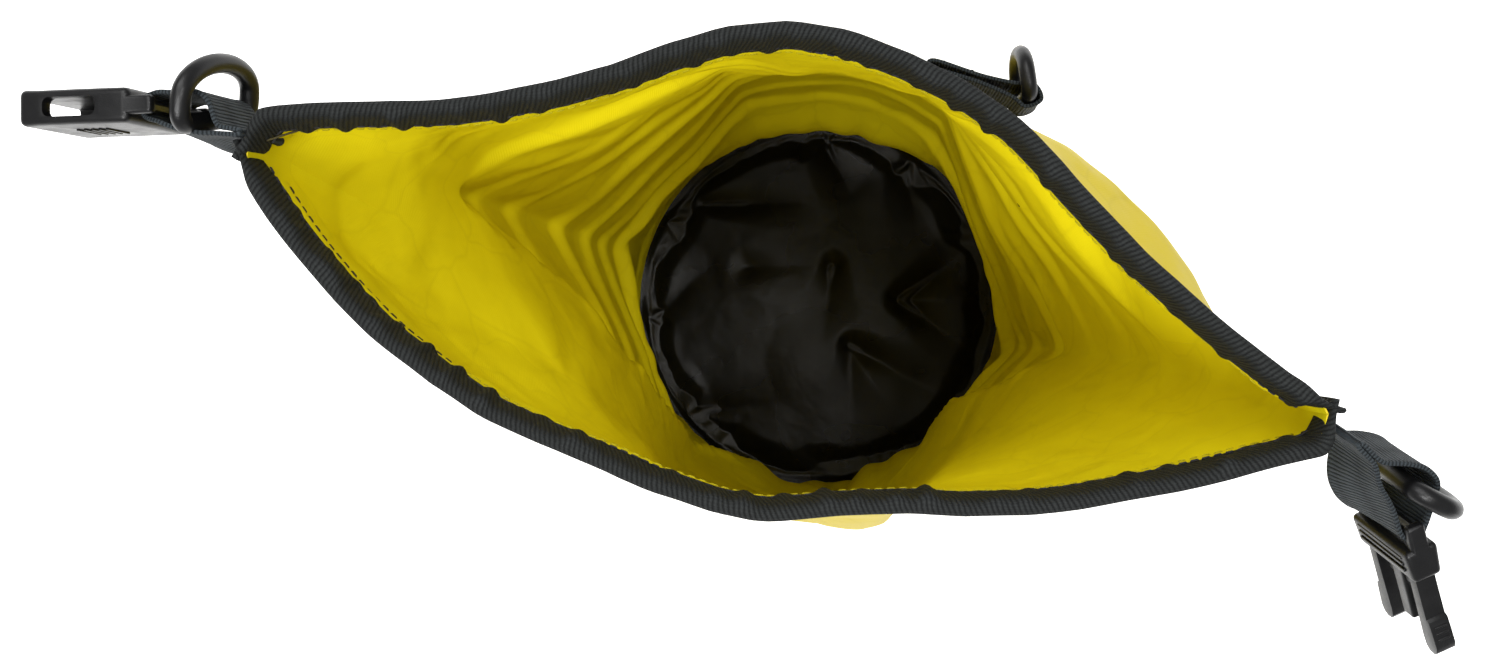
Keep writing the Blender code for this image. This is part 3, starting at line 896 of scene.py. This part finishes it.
def makeEdging(side):
    line, along, out = rimSide(side)
    profile = smoothLine([(w * mm, h * mm) for w, h in edging["profile"]], 27)
    columns = edging["columns"]
    length = lineLength(line)

    def place(column, row):
        # the tape runs a little past both corners, where its two halves overlap
        reached = column / columns * (1 + 2 * edging["past"]) - edging["past"]
        share = min(max(reached, 0.0), 1.0)
        point = sampled(line, share) + sampled(along, share) * (reached - share) * length
        outward = sampled(out, share).normalized()
        w, h = profile[row]
        ends = smoothStep(0, 0.035, share) * smoothStep(1, 0.965, share)
        run = share * length * 1000
        wave = wander(run * 0.17, 2.0 if side == "front" else 7.0, row * 0.04)
        slow = wander(run * 0.03, 5.0 if side == "front" else 9.0, 0)
        width = w * (0.35 + 0.65 * ends) + edging["lean"] * ends * smoothStep(-0.012, 0, h)
        if w < 0:
            width -= edging["pucker"] * max(wave, 0.0) * 2.4
        spot = point + outward * (width + 0.0006 * slow)
        return Vector((spot.x, spot.y, rimRows["height"] + 0.0015 + h + 0.0006 * slow + 0.0003 * wave))

    tape = wrapGrid("edgeTape", columns, 26, place, length, 0.036)
    giveWall(tape, edging["wall"])
    title = "edgeTape" + side.capitalize()
    finishPiece(tape, title, "bag", (edgeTape,), ("rim_binding_" + side,), 60)

    stitches = []
    for share in np.arange(0.02, 0.98, 0.0034 / length):
        for distance in edging["stitchFaces"]:
            outward = sampled(out, share).normalized()
            foot = sampled(line, share) + outward * distance
            facing = outward * math.copysign(1, distance)
            spot = (foot.x, foot.y, rimRows["height"] - edging["stitchDrop"])
            stitches.append((spot, (*sampled(along, share), 0), (*facing, 0.25)))
    stitchRow("edgeStitches" + side.capitalize(), stitches, blackThread)
    return tape


def hemWave(share):
    # the hem's lower edge and its stitches wander together
    return 0.0009 * wander(share * 14, 8.0, 0)


def makeHem(side):
    # cloth turned in over the stiffener, sewn down along its lower edge
    line, along, out = rimSide(side)
    length = lineLength(line)
    levels = ((0.0003, hem["low"] - 0.0006), (0.0011, hem["low"]), (0.0018, hem["low"] + 0.003),
              (0.0019, hem["low"] + 0.007), (0.0014, hem["low"] + 0.012), (0.0010, rimRows["height"] - 0.001))
    levels = smoothLine(levels, 15)

    def place(column, row):
        share = hem["cornerGap"] + (1 - 2 * hem["cornerGap"]) * column / hem["columns"]
        point = sampled(line, share)
        outward = sampled(out, share).normalized()
        inset, height = levels[row]
        pucker = 0.00035 * wander(share * length * 160, height * 90, 3.0)
        spot = point - outward * (inset + pucker)
        return Vector((spot.x, spot.y, height + hemWave(share)))

    fold = wrapGrid("hemFold", hem["columns"], 14, place, length, 0.027)
    giveWall(fold, hem["thickness"], 0.0)
    finishPiece(fold, "hemFold" + side.capitalize(), "bag", (yellowInside,),
                ("rim_stiffener_" + side,), 60)
    darkEnd = 0.24 if side == "front" else 0.0
    stitches = {"dark": [], "plain": []}
    for share in np.arange(0.035, 0.965, hem["stitchStep"] / length):
        inward = -sampled(out, share).normalized()
        point = sampled(line, share) + inward * 0.00225
        spot = (point.x, point.y, hem["stitchHeight"] + hemWave(share))
        kind = "dark" if share < darkEnd else "plain"
        stitches[kind].append((spot, (*sampled(along, share), 0), (*inward, 0)))
    for kind, thread in (("dark", darkThread), ("plain", yellowThread)):
        if stitches[kind]:
            title = kind + "HemStitches" + side.capitalize()
            stitchRow(title, stitches[kind], thread)


for rimPart in ("back", "front"):
    makeHem(rimPart)
    makeEdging(rimPart)
threadEnd = {"line": ((-163.5, -0.4, 535), (-160.5, -1.0, 537.5), (-157.5, 0.2, 539), (-154.5, 2.4, 538),
                     (-151.0, 5.4, 535)), "radius": 0.00033, "sides": 6, "steps": 40}


def makeThreadEnd():
    # the sewing thread's loose end in the left corner
    line = smoothLine(np.array(threadEnd["line"]) * mm, threadEnd["steps"] + 1)

    def place(column, row):
        ahead = Vector(line[min(column + 1, threadEnd["steps"])] - line[max(column - 1, 0)]).normalized()
        side = ahead.cross(Vector((0, 0, 1))).normalized()
        turn = 2 * math.pi * (row % threadEnd["sides"]) / threadEnd["sides"]
        taper = threadEnd["radius"] * (0.15 if column in (0, threadEnd["steps"]) else 1.0)
        return Vector(line[column]) + (side * math.cos(turn) + side.cross(ahead) * math.sin(turn)) * taper

    thread = wrapGrid("threadEnd", threadEnd["steps"], threadEnd["sides"], place, 0.016, 0.002)
    finishPiece(thread, "threadEnd", "bag", (darkThread,), angle=80)


makeThreadEnd()
print("mouth ready")


# side seams: thin welded tapes outside, kept close to the cloth

seams = {"width": 0.012, "thickness": 0.0004, "rows": 90}
depsgraph = bpy.context.evaluated_depsgraph_get()
bodyTrees = [BVHTree.FromObject(panel, depsgraph) for panel in (frontPanel, backPanel)]


def clothReach(angle, height):
    # the outermost cloth seen from outside the bag
    ray = Vector((-math.cos(angle), -math.sin(angle), 0))
    start = Vector((0, 0, height)) - ray * 0.4
    reached = [tree.ray_cast(start, ray, 0.5)[3] for tree in bodyTrees]
    found = [0.4 - distance for distance in reached if distance is not None]
    return max(found, default=None)


def makeSeam(side):
    node = "side_seam_tape_" + side
    low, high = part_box(node)

    def place(column, row):
        height = low[2] + (high[2] - low[2]) * row / seams["rows"]
        middle = seamAngle(node, height)
        reach = clothReach(middle, height) or 0.12
        angle = middle + (column / 8 - 0.5) * seams["width"] / reach
        out = (clothReach(angle, height) or reach) + 0.0005
        return Vector((math.cos(angle) * out, math.sin(angle) * out, height))

    tape = wrapGrid(node, 8, seams["rows"], place, seams["width"], high[2] - low[2])
    giveWall(tape, seams["thickness"], 1.0)
    finishPiece(tape, "seamTape" + side.capitalize(), "bag", (seamFilm,), (node,), 60)


makeSeam("left")
makeSeam("right")
print("seams ready")


# the round base: a loose sheet with a turned-up edge, and the band welded round its foot

base = {"radius": 0.1140, "cells": 110, "edge": 0.0018, "slack": -0.008, "frames": 18, "cap": 0.005,
        "thickness": 0.0005}
# creases pressed into the base sheet: start and end as x and y, height, and half width, in metres
baseCreases = (((-0.108, 0.026), (-0.088, 0.043), 0.0035, 0.007),
               ((-0.088, 0.043), (-0.026, 0.060), 0.0045, 0.007),
               ((0.050, 0.017), (0.092, 0.071), 0.0050, 0.009),
               ((0.050, 0.017), (0.096, -0.002), 0.0050, 0.008),
               ((0.026, -0.019), (0.097, -0.037), 0.0045, 0.009),
               ((0.002, 0.026), (0.010, -0.024), 0.0040, 0.010),
               ((-0.020, 0.098), (0.004, 0.070), 0.0045, 0.011),
               ((0.030, 0.100), (0.046, 0.066), 0.0040, 0.010),
               ((-0.095, -0.030), (-0.070, 0.012), 0.0030, 0.010),
               ((-0.055, -0.085), (-0.004, -0.066), 0.0030, 0.010),
               ((0.026, -0.019), (0.044, -0.075), 0.0035, 0.009),
               ((-0.050, 0.012), (0.002, 0.026), 0.0025, 0.012))
band = {"columns": 200, "rows": 8, "thickness": 0.0009}


def creaseHeight(x, y):
    height = 0.0
    for (x0, y0), (x1, y1), rise, half in baseCreases:
        ahead = Vector((x1 - x0, y1 - y0))
        t = min(max(((x - x0) * ahead.x + (y - y0) * ahead.y) / ahead.length_squared, 0.0), 1.0)
        gap = math.hypot(x - x0 - ahead.x * t, y - y0 - ahead.y * t)
        height = max(height, rise * (1 - 0.8 * t) * max(0.0, 1 - gap / (half * (1.4 + 1.8 * t))) ** 1.5)
    return height


def makeBase():
    cells = base["cells"]

    def place(column, row):
        x = 2 * column / cells - 1
        y = 2 * row / cells - 1
        disc = Vector((x * math.sqrt(1 - y * y / 2), y * math.sqrt(1 - x * x / 2), 0))
        reach = disc.length
        turn = math.atan2(disc.y, disc.x)
        rough = noise.fractal(Vector((x * 1.8, y * 1.8, 0.4)), 1.0, 2.0, 2)
        ridge = 1 - abs(wander(x * 1.7 + 4, y * 1.7, 2.0)) * 2
        edge = smoothStep(0.95, 1.0, reach)
        lip = base["edge"] * (0.75 + 0.5 * wander(math.cos(turn) * 3, math.sin(turn) * 3, 6))
        spot = disc * base["radius"]
        soft = 0.0012 + 0.0012 * rough + 0.0008 * ridge + creaseHeight(spot.x, spot.y)
        height = 0.0011 + soft * (1 - edge) + lip * edge * edge
        inset = 1 - 0.012 * edge * wander(math.cos(turn) * 6, math.sin(turn) * 6, 1)
        return Vector((spot.x * inset, spot.y * inset, max(height, 0.0006)))

    sheet = wrapGrid("baseSheet", cells, cells, place, base["radius"] * 2, base["radius"] * 2)
    held = sheet.vertex_groups.new(name="held")
    rim = [v.index for v in sheet.data.vertices if v.co.xy.length > base["radius"] * 0.955]
    held.add(rim, 1.0, "REPLACE")
    letGo(sheet, base["slack"], base["frames"], base["cap"], 15)
    subdivide(sheet)
    for vertex in sheet.data.vertices:
        vertex.co.z = 0.0009 + abs(vertex.co.z - 0.0009)
    giveWall(sheet, base["thickness"])
    finishPiece(sheet, "baseSheet", "bag", (blackCoated,),
                ("base_disc", "base_seam_tape"), 70)


def makeBand():
    low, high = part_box("base_skirt")
    outer = high[0]

    def place(column, row):
        turn = 2 * math.pi * (column % band["columns"]) / band["columns"]
        level = row / band["rows"]
        wave = 0.0005 * wander(math.cos(turn) * 5, math.sin(turn) * 5, level * 2)
        reach = outer - 0.0002 + wave - 0.0007 * smoothStep(0.75, 1.0, level)
        uneven = 0.0010 * level * wander(math.cos(turn) * 4, math.sin(turn) * 4, 9)
        height = high[2] * level + uneven
        return Vector((math.cos(turn) * reach, math.sin(turn) * reach, max(height, 0.0002)))

    strip = wrapGrid("baseBand", band["columns"], band["rows"], place, 0.742, 0.014)
    giveWall(strip, band["thickness"])
    finishPiece(strip, "baseBand", "bag", (blackCoated,), ("base_skirt",), 60)


def makeUnderside():
    # the sheet that the bag stands on, pressed flat with a rounded rim
    deselectAll()
    bpy.ops.mesh.primitive_circle_add(vertices=128, radius=0.1150, fill_type="NGON", location=(0, 0, 0.0003))
    foot = bpy.context.active_object
    settle(foot, Matrix.Identity(4))
    editMode(foot)
    for step in range(6):
        bpy.ops.mesh.inset(thickness=0.012 if step else 0.004, depth=0.0)
    bpy.ops.mesh.poke()
    objectMode()
    for vertex in foot.data.vertices:
        reach = vertex.co.xy.length
        soft = wander(vertex.co.x * 18, vertex.co.y * 18, 2.0)
        vertex.co.z += 0.0003 * (soft + 0.5) * smoothStep(0.115, 0.10, reach)
        vertex.co.z += 0.0006 * smoothStep(0.112, 0.115, reach)
    giveWall(foot, 0.0004, 1.0)
    for corner in foot.data.uv_layers.active.data if foot.data.uv_layers.active else ():
        corner.uv = (corner.uv[0] * 0.23, corner.uv[1] * 0.23)
    finishPiece(foot, "baseFoot", "bag", (blackCoated,), angle=60)


makeBase()
makeBand()
makeUnderside()
print("base ready")


# webbing loops; loop points are millimetres in the strap's own frame, x along it

straps = {
    "left": {
        "node": "left_tab", "corner": (-168.5, -1.0, 538.0), "out": (-0.975, 0.08, -0.16),
        "up": (-0.165, -0.045, 0.985), "lean": (-0.436, 0.092, 0.895), "leanRange": (0.515, 0.90),
        "loop": ((-7.5, -2.2), (-4, -1.6), (0, -1.6), (5, -7), (10, -8.3), (17, -5.8), (22, -4.1), (26.0, 0),
                 (22, 4.1), (16, 5), (9, 5), (4, 3.5), (0, 1.4), (-4, 0.2), (-7.5, -0.8)),
    },
    "right": {
        "node": "right_tab", "corner": (171.0, -4.0, 538.0), "out": (0.68, -0.64, -0.383),
        "up": (0.305, -0.229, 0.924), "lean": (0.42, -0.02, 0.90), "leanRange": (0.10, 0.44),
        "loop": ((-9, -3.4), (-4, -2.1), (0, -1.6), (8, -4.5), (17, -5), (24, -4.1), (28.0, 0), (25, 4.2),
                 (20, 8.5), (15, 12.3), (9, 11), (4, 6.5), (0, 1.3), (-4, -0.5), (-9, -2.0)),
    },
    "lash": {
        "node": "lash_tab", "corner": (27.0, 94.0, 400.0), "out": (0.998, -0.06, 0.0),
        "up": (0.0, 0.0, 1.0), "lean": (0.0, 0.0, 1.0), "leanRange": (0.0, 1.0),
        "loop": ((0, -1.3), (18, -1.3), (31, -2.6), (37, -4.4), (41.6, 0), (37, 4.4), (31, 2.6), (18, 1.3),
                 (0, 1.3)),
    },
}
webbing = {"width": 24.4, "thickness": 1.3, "columns": 150,
           "profile": ((-0.65, -12.0), (-0.45, -12.2), (0.45, -12.2), (0.65, -12.0), (0.78, -11.2),
                       (0.6, -10.4), (0.65, 0), (0.6, 10.4), (0.78, 11.2), (0.65, 12.0), (0.45, 12.2),
                       (-0.45, 12.2), (-0.65, 12.0), (-0.78, 11.2), (-0.6, 10.4), (-0.65, 0),
                       (-0.6, -10.4), (-0.78, -11.2))}


def makeStrap(side):
    values = straps[side]
    matrix = localFrame(Vector(values["corner"]) * mm, values["out"], values["up"])
    columns = webbing["columns"]
    path = smoothLine(values["loop"], columns + 1, closed=True)
    along = np.roll(path[:-1], -1, axis=0) - np.roll(path[:-1], 1, axis=0)
    along /= np.linalg.norm(along, axis=1)[:, None]
    length = lineLength(path)
    lean = (matrix.to_3x3().inverted() @ (Vector(values["lean"]) * mm)).normalized()
    start, end = values["leanRange"]
    rows = len(webbing["profile"])
    dense = [np.array(p, float) for p in webbing["profile"]]

    def place(column, row):
        k = column % columns
        share = column / columns
        tilt = smoothStep(start, start + 0.16, share) * smoothStep(end, end - 0.16, share)
        width = (Vector((0, 0, 1)) * (1 - tilt) + lean * tilt).normalized()
        forward = Vector((along[k][0], along[k][1], 0))
        normal = width.cross(forward).normalized()
        thick, wide = dense[row % rows]
        bow = 0.25 * math.cos(wide / 12.2 * math.pi / 2) * math.sin(share * math.pi) ** 2
        return matrix @ (Vector((path[k][0], path[k][1], 0)) + normal * (thick + bow) + width * wide)

    strap = wrapGrid(values["node"], columns, rows, place, length * mm, 2 * (webbing["width"] + 1.3) * mm)
    return strap, matrix, length * mm


def barTack(matrix, xs, side, name, body):
    # a close zigzag of thread that holds the strap's two legs together
    places = []
    for x in xs:
        for z in np.arange(-10.5, 10.6, 1.05):
            point = matrix @ Vector((x + 0.5 * math.sin(z * 3), side, z))
            along = matrix.to_3x3() @ Vector((0.55, 0, 1))
            out = matrix.to_3x3() @ Vector((0, math.copysign(1, side), 0))
            places.append((point, along, out))
    return stitchRow(name, places, blackThread, body, 0.0019, 0.00035)


for strapSide, values in straps.items():
    strap, strapMatrix, strapLength = makeStrap(strapSide)
    body = "bag" if strapSide == "lash" else None
    finishPiece(strap, strapSide + "Strap", body, (ribbedStrap,), (values["node"],), 60)
    if strapSide == "lash":
        barTack(strapMatrix, (3.0, 14.0), 2.1, "lashStitches", "bag")
    else:
        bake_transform(strap)
print("straps ready")


def makePatch():
    # welded patch that spreads the pull of the lash strap over the cloth
    low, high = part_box("lash_patch")
    columns, rows = 28, 22

    def place(column, row):
        x = low[0] + (high[0] - low[0]) * column / columns
        z = low[2] + (high[2] - low[2]) * row / rows
        angle = math.atan2(0.094 - 0.35 * (x - 0.03), x)
        reach = clothReach(angle, z)
        for step in range(4):
            angle = math.atan2(reach * math.sin(angle), x)
            reach = clothReach(angle, z)
        y = reach * math.sin(angle)
        return Vector((reach * math.cos(angle), y, z)) + Vector((0.1, 0.9, 0)) * 0.0004

    patch = wrapGrid("lashPatch", columns, rows, place, high[0] - low[0], high[2] - low[2])
    for vertex in patch.data.vertices:
        toEdgeX = min(vertex.co.x - low[0], high[0] - vertex.co.x)
        toEdgeZ = min(vertex.co.z - low[2], high[2] - vertex.co.z)
        if toEdgeX < 0.006 and toEdgeZ < 0.006:
            gap = math.hypot(0.006 - toEdgeX, 0.006 - toEdgeZ)
            if gap > 0.006:
                pull = (gap - 0.006) / gap
                vertex.co.x += math.copysign((0.006 - toEdgeX) * pull, (low[0] + high[0]) / 2 - vertex.co.x)
                vertex.co.z += math.copysign((0.006 - toEdgeZ) * pull, (low[2] + high[2]) / 2 - vertex.co.z)
    giveWall(patch, 0.0005, 1.0)
    finishPiece(patch, "lashPatch", "bag", (blackCoated,), ("lash_patch",), 60)


makePatch()
print("patch ready")


# D-rings: round rod with a moulded parting line

ring = {"width": 32.0, "reach": 17.0, "leg": 7.5, "rod": 3.0, "corner": 3.2}


def makeRing(side):
    matrix = hingeFrame(side + "_d_ring_swing", side + "_d_ring")
    half = ring["width"] / 2
    c = ring["corner"]
    path = [(0, 0), (0, half - c), (0.35 * c, half - 0.35 * c), (c, half), (ring["leg"], half)]
    for k in range(1, 12):
        angle = math.pi / 2 - math.pi * k / 12
        path.append((ring["leg"] + (ring["reach"] - ring["leg"]) * math.cos(angle), half * math.sin(angle)))
    path += [(ring["leg"], -half), (c, -half), (0.35 * c, -half + 0.35 * c), (0, -half + c)]
    line = smoothLine(path, 97, closed=True)
    deselectAll()
    bpy.ops.mesh.primitive_torus_add(major_segments=96, minor_segments=24, major_radius=12, minor_radius=2)
    piece = bpy.context.active_object
    for vertex in piece.data.vertices:
        turn = math.atan2(vertex.co.y, vertex.co.x) % (2 * math.pi)
        k = round(turn / (2 * math.pi) * 96) % 96
        around = math.atan2(vertex.co.z, math.hypot(vertex.co.x, vertex.co.y) - 12)
        ahead = line[(k + 1) % 96] - line[(k - 1) % 96]
        outward = np.array([ahead[1], -ahead[0]]) / np.linalg.norm(ahead)
        if np.dot(outward, line[k] - np.array([8.0, 0.0])) < 0:
            outward = -outward
        rod = ring["rod"] + 0.10 * math.exp(-(math.sin(around) / 0.06) ** 2)
        spot = line[k] + outward * rod * math.cos(around)
        vertex.co = (spot[0], rod * math.sin(around), spot[1])
    settle(piece, matrix)
    faceOutwards(piece)
    subdivide(piece)
    return finishPiece(piece, side + "Ring", side + "_d_ring", (mouldedPlastic,),
                       (side + "_d_ring",), 60)


for ringSide in ("left", "right", "lash"):
    makeRing(ringSide)
print("rings ready")


# side-release buckle, modelled in millimetres with x towards its mouth or tip

def addBlock(x0, x1, y0, y1, z0, z1, rounding=0.0):
    deselectAll()
    middle = ((x0 + x1) / 2, (y0 + y1) / 2, (z0 + z1) / 2)
    bpy.ops.mesh.primitive_cube_add(size=1.0, location=middle)
    block = bpy.context.active_object
    block.scale = (x1 - x0, y1 - y0, z1 - z0)
    bpy.ops.object.transform_apply(location=True, rotation=True, scale=True)
    if rounding:
        editMode(block)
        bpy.ops.mesh.bevel(offset=rounding, segments=5, affect="EDGES", profile=0.55)
        objectMode()
    return block


def addBar(radius, length, x=0.0):
    # webbing bar with flats and grip ridges along it
    deselectAll()
    bpy.ops.mesh.primitive_cylinder_add(vertices=24, radius=radius, depth=length, location=(x, 0, 0))
    bar = bpy.context.active_object
    bpy.ops.object.transform_apply(location=True, rotation=True, scale=True)
    for vertex in bar.data.vertices:
        turn = math.atan2(vertex.co.y, vertex.co.x - x)
        ridge = 1 + 0.05 * math.cos(turn * 8)
        vertex.co.x = x + (vertex.co.x - x) * ridge
        vertex.co.y *= ridge
    return bar


def bulge(piece, amount, x0, x1):
    # the narrow edges swell a little between x0 and x1
    for vertex in piece.data.vertices:
        share = min(max((vertex.co.x - x0) / (x1 - x0), 0), 1)
        vertex.co.z *= 1 + amount * math.sin(math.pi * share)


socket = {"start": 5.0, "end": 42.0, "deep": 5.25, "half": 16.0, "rounding": 2.2}
plug = {"start": 5.0, "end": 15.5, "deep": 5.0, "half": 14.6}


def addYoke(half):
    # the two cheeks and the bar that the strap goes round
    cheeks = [addBlock(-2.6, 8.0, -2.7, 2.7, low, low + 3.2, 1.2) for low in (-half, half - 3.2)]
    return [*cheeks, addBar(1.9, half * 2 - 2)]


def makeSocket():
    body = addBlock(socket["start"], socket["end"], -socket["deep"], socket["deep"],
                    -socket["half"], socket["half"], socket["rounding"])
    editMode(body)
    bpy.ops.mesh.bisect(plane_co=(14, 0, 0), plane_no=(1, 0, 0))
    bpy.ops.mesh.select_all(action="SELECT")
    bpy.ops.mesh.bisect(plane_co=(24.5, 0, 0), plane_no=(1, 0, 0))
    bpy.ops.mesh.select_all(action="SELECT")
    bpy.ops.mesh.bisect(plane_co=(35, 0, 0), plane_no=(1, 0, 0))
    objectMode()
    bulge(body, 0.035, socket["start"], socket["end"])
    for vertex in body.data.vertices:
        flare = smoothStep(36, 42, vertex.co.x)
        vertex.co.y *= 1 + 0.05 * flare
    for part in addYoke(socket["half"]):
        combine(body, part, "UNION")
    combine(body, addBlock(15.0, 46.0, -3.3, 3.3, -12.6, 12.6, 0.9), "DIFFERENCE")
    combine(body, addBlock(15.6, 33.5, -2.9, 2.9, -19.0, 19.0, 2.4), "DIFFERENCE")
    for ridge in (19.5, 22.0, 24.5, 27.0, 29.5):
        for face in (-1, 1):
            rib = addBlock(ridge - 0.45, ridge + 0.45, face * 5.5 - 0.35, face * 5.5 + 0.35, -5.5, 5.5, 0.3)
            combine(body, rib, "UNION")
    roundEdges(body, 0.3, 2, 40)
    settle(body, hingeFrame("socket_swing", "buckle_socket"))
    finishPiece(body, "buckleSocket", "socket", (mouldedPlastic,),
                ("buckle_socket",), 35)


def makePlug():
    body = addBlock(plug["start"], plug["end"], -plug["deep"], plug["deep"], -plug["half"], plug["half"], 1.7)
    for vertex in body.data.vertices:
        flare = smoothStep(plug["end"], plug["start"] + 5, vertex.co.x)
        vertex.co.y *= 0.86 + 0.14 * flare
    for part in addYoke(plug["half"]):
        combine(body, part, "UNION")
    guide = addBlock(13.0, 36.0, -2.1, 2.1, -2.6, 2.6, 0.9)
    for vertex in guide.data.vertices:
        slim = smoothStep(20, 30, vertex.co.x) * smoothStep(35, 33, vertex.co.x)
        vertex.co.z *= 1 - 0.22 * slim
    combine(body, guide, "UNION")
    combine(body, addBlock(13.0, 22.0, -1.2, 1.2, -6.0, 6.0, 0.5), "UNION")
    for row in (7.4, 9.6, 11.8):
        for face in (-1, 1):
            rib = addBlock(row - 0.5, row + 0.5, face * 4.85 - 0.4, face * 4.85 + 0.4, -11.5, 11.5, 0.35)
            combine(body, rib, "UNION")
    roundEdges(body, 0.3, 2, 40)
    settle(body, hingeFrame("plug_swing", "buckle_plug"))
    finishPiece(body, "bucklePlug", "plug", (mouldedPlastic,), ("buckle_plug",), 35)


arm = {"outline": ((-1, -1.7), (8, -1.8), (14, -1.9), (14.6, -3.0), (19, -3.5), (23.5, -3.8), (25.6, -3.1),
                   (26.6, -1.6), (26.4, 0.6), (25, 1.8), (22, 2.2), (10, 1.9), (-1, 1.7)), "half": 3.0,
       "root": 16.0, "spread": 10.5}


def makeArm(name, side):
    # outline drawn as one face, drawn out to its width, then rounded
    deselectAll()
    bpy.ops.mesh.primitive_circle_add(vertices=len(arm["outline"]), radius=1.0, fill_type="NGON")
    piece = bpy.context.active_object
    for vertex, (x, z) in zip(piece.data.vertices, arm["outline"]):
        vertex.co = (x, -arm["half"], -side * z)
    editMode(piece)
    bpy.ops.mesh.extrude_region_move(TRANSFORM_OT_translate={"value": (0, arm["half"] * 2, 0)})
    objectMode()
    faceOutwards(piece)
    for ridge in (17.0, 19.0, 21.0):
        level = side * (3.25 + (ridge - 17) * 0.09)
        rib = addBlock(ridge - 0.4, ridge + 0.4, -2.0, 2.0, level - 0.4, level + 0.35, 0.25)
        combine(piece, rib, "UNION")
    roundEdges(piece, 0.4, 3, 30)
    root = Matrix.Translation((arm["root"], 0, side * arm["spread"]))
    settle(piece, hingeFrame("plug_swing", "buckle_plug") @ root)
    finishPiece(piece, "plug" + name.capitalize() + "Arm", "plug_arm_" + name, (mouldedPlastic,),
                ("plug_arm_" + name,), 35)


makeSocket()
makePlug()
makeArm("upper", 1)
makeArm("lower", -1)
print("buckle ready")
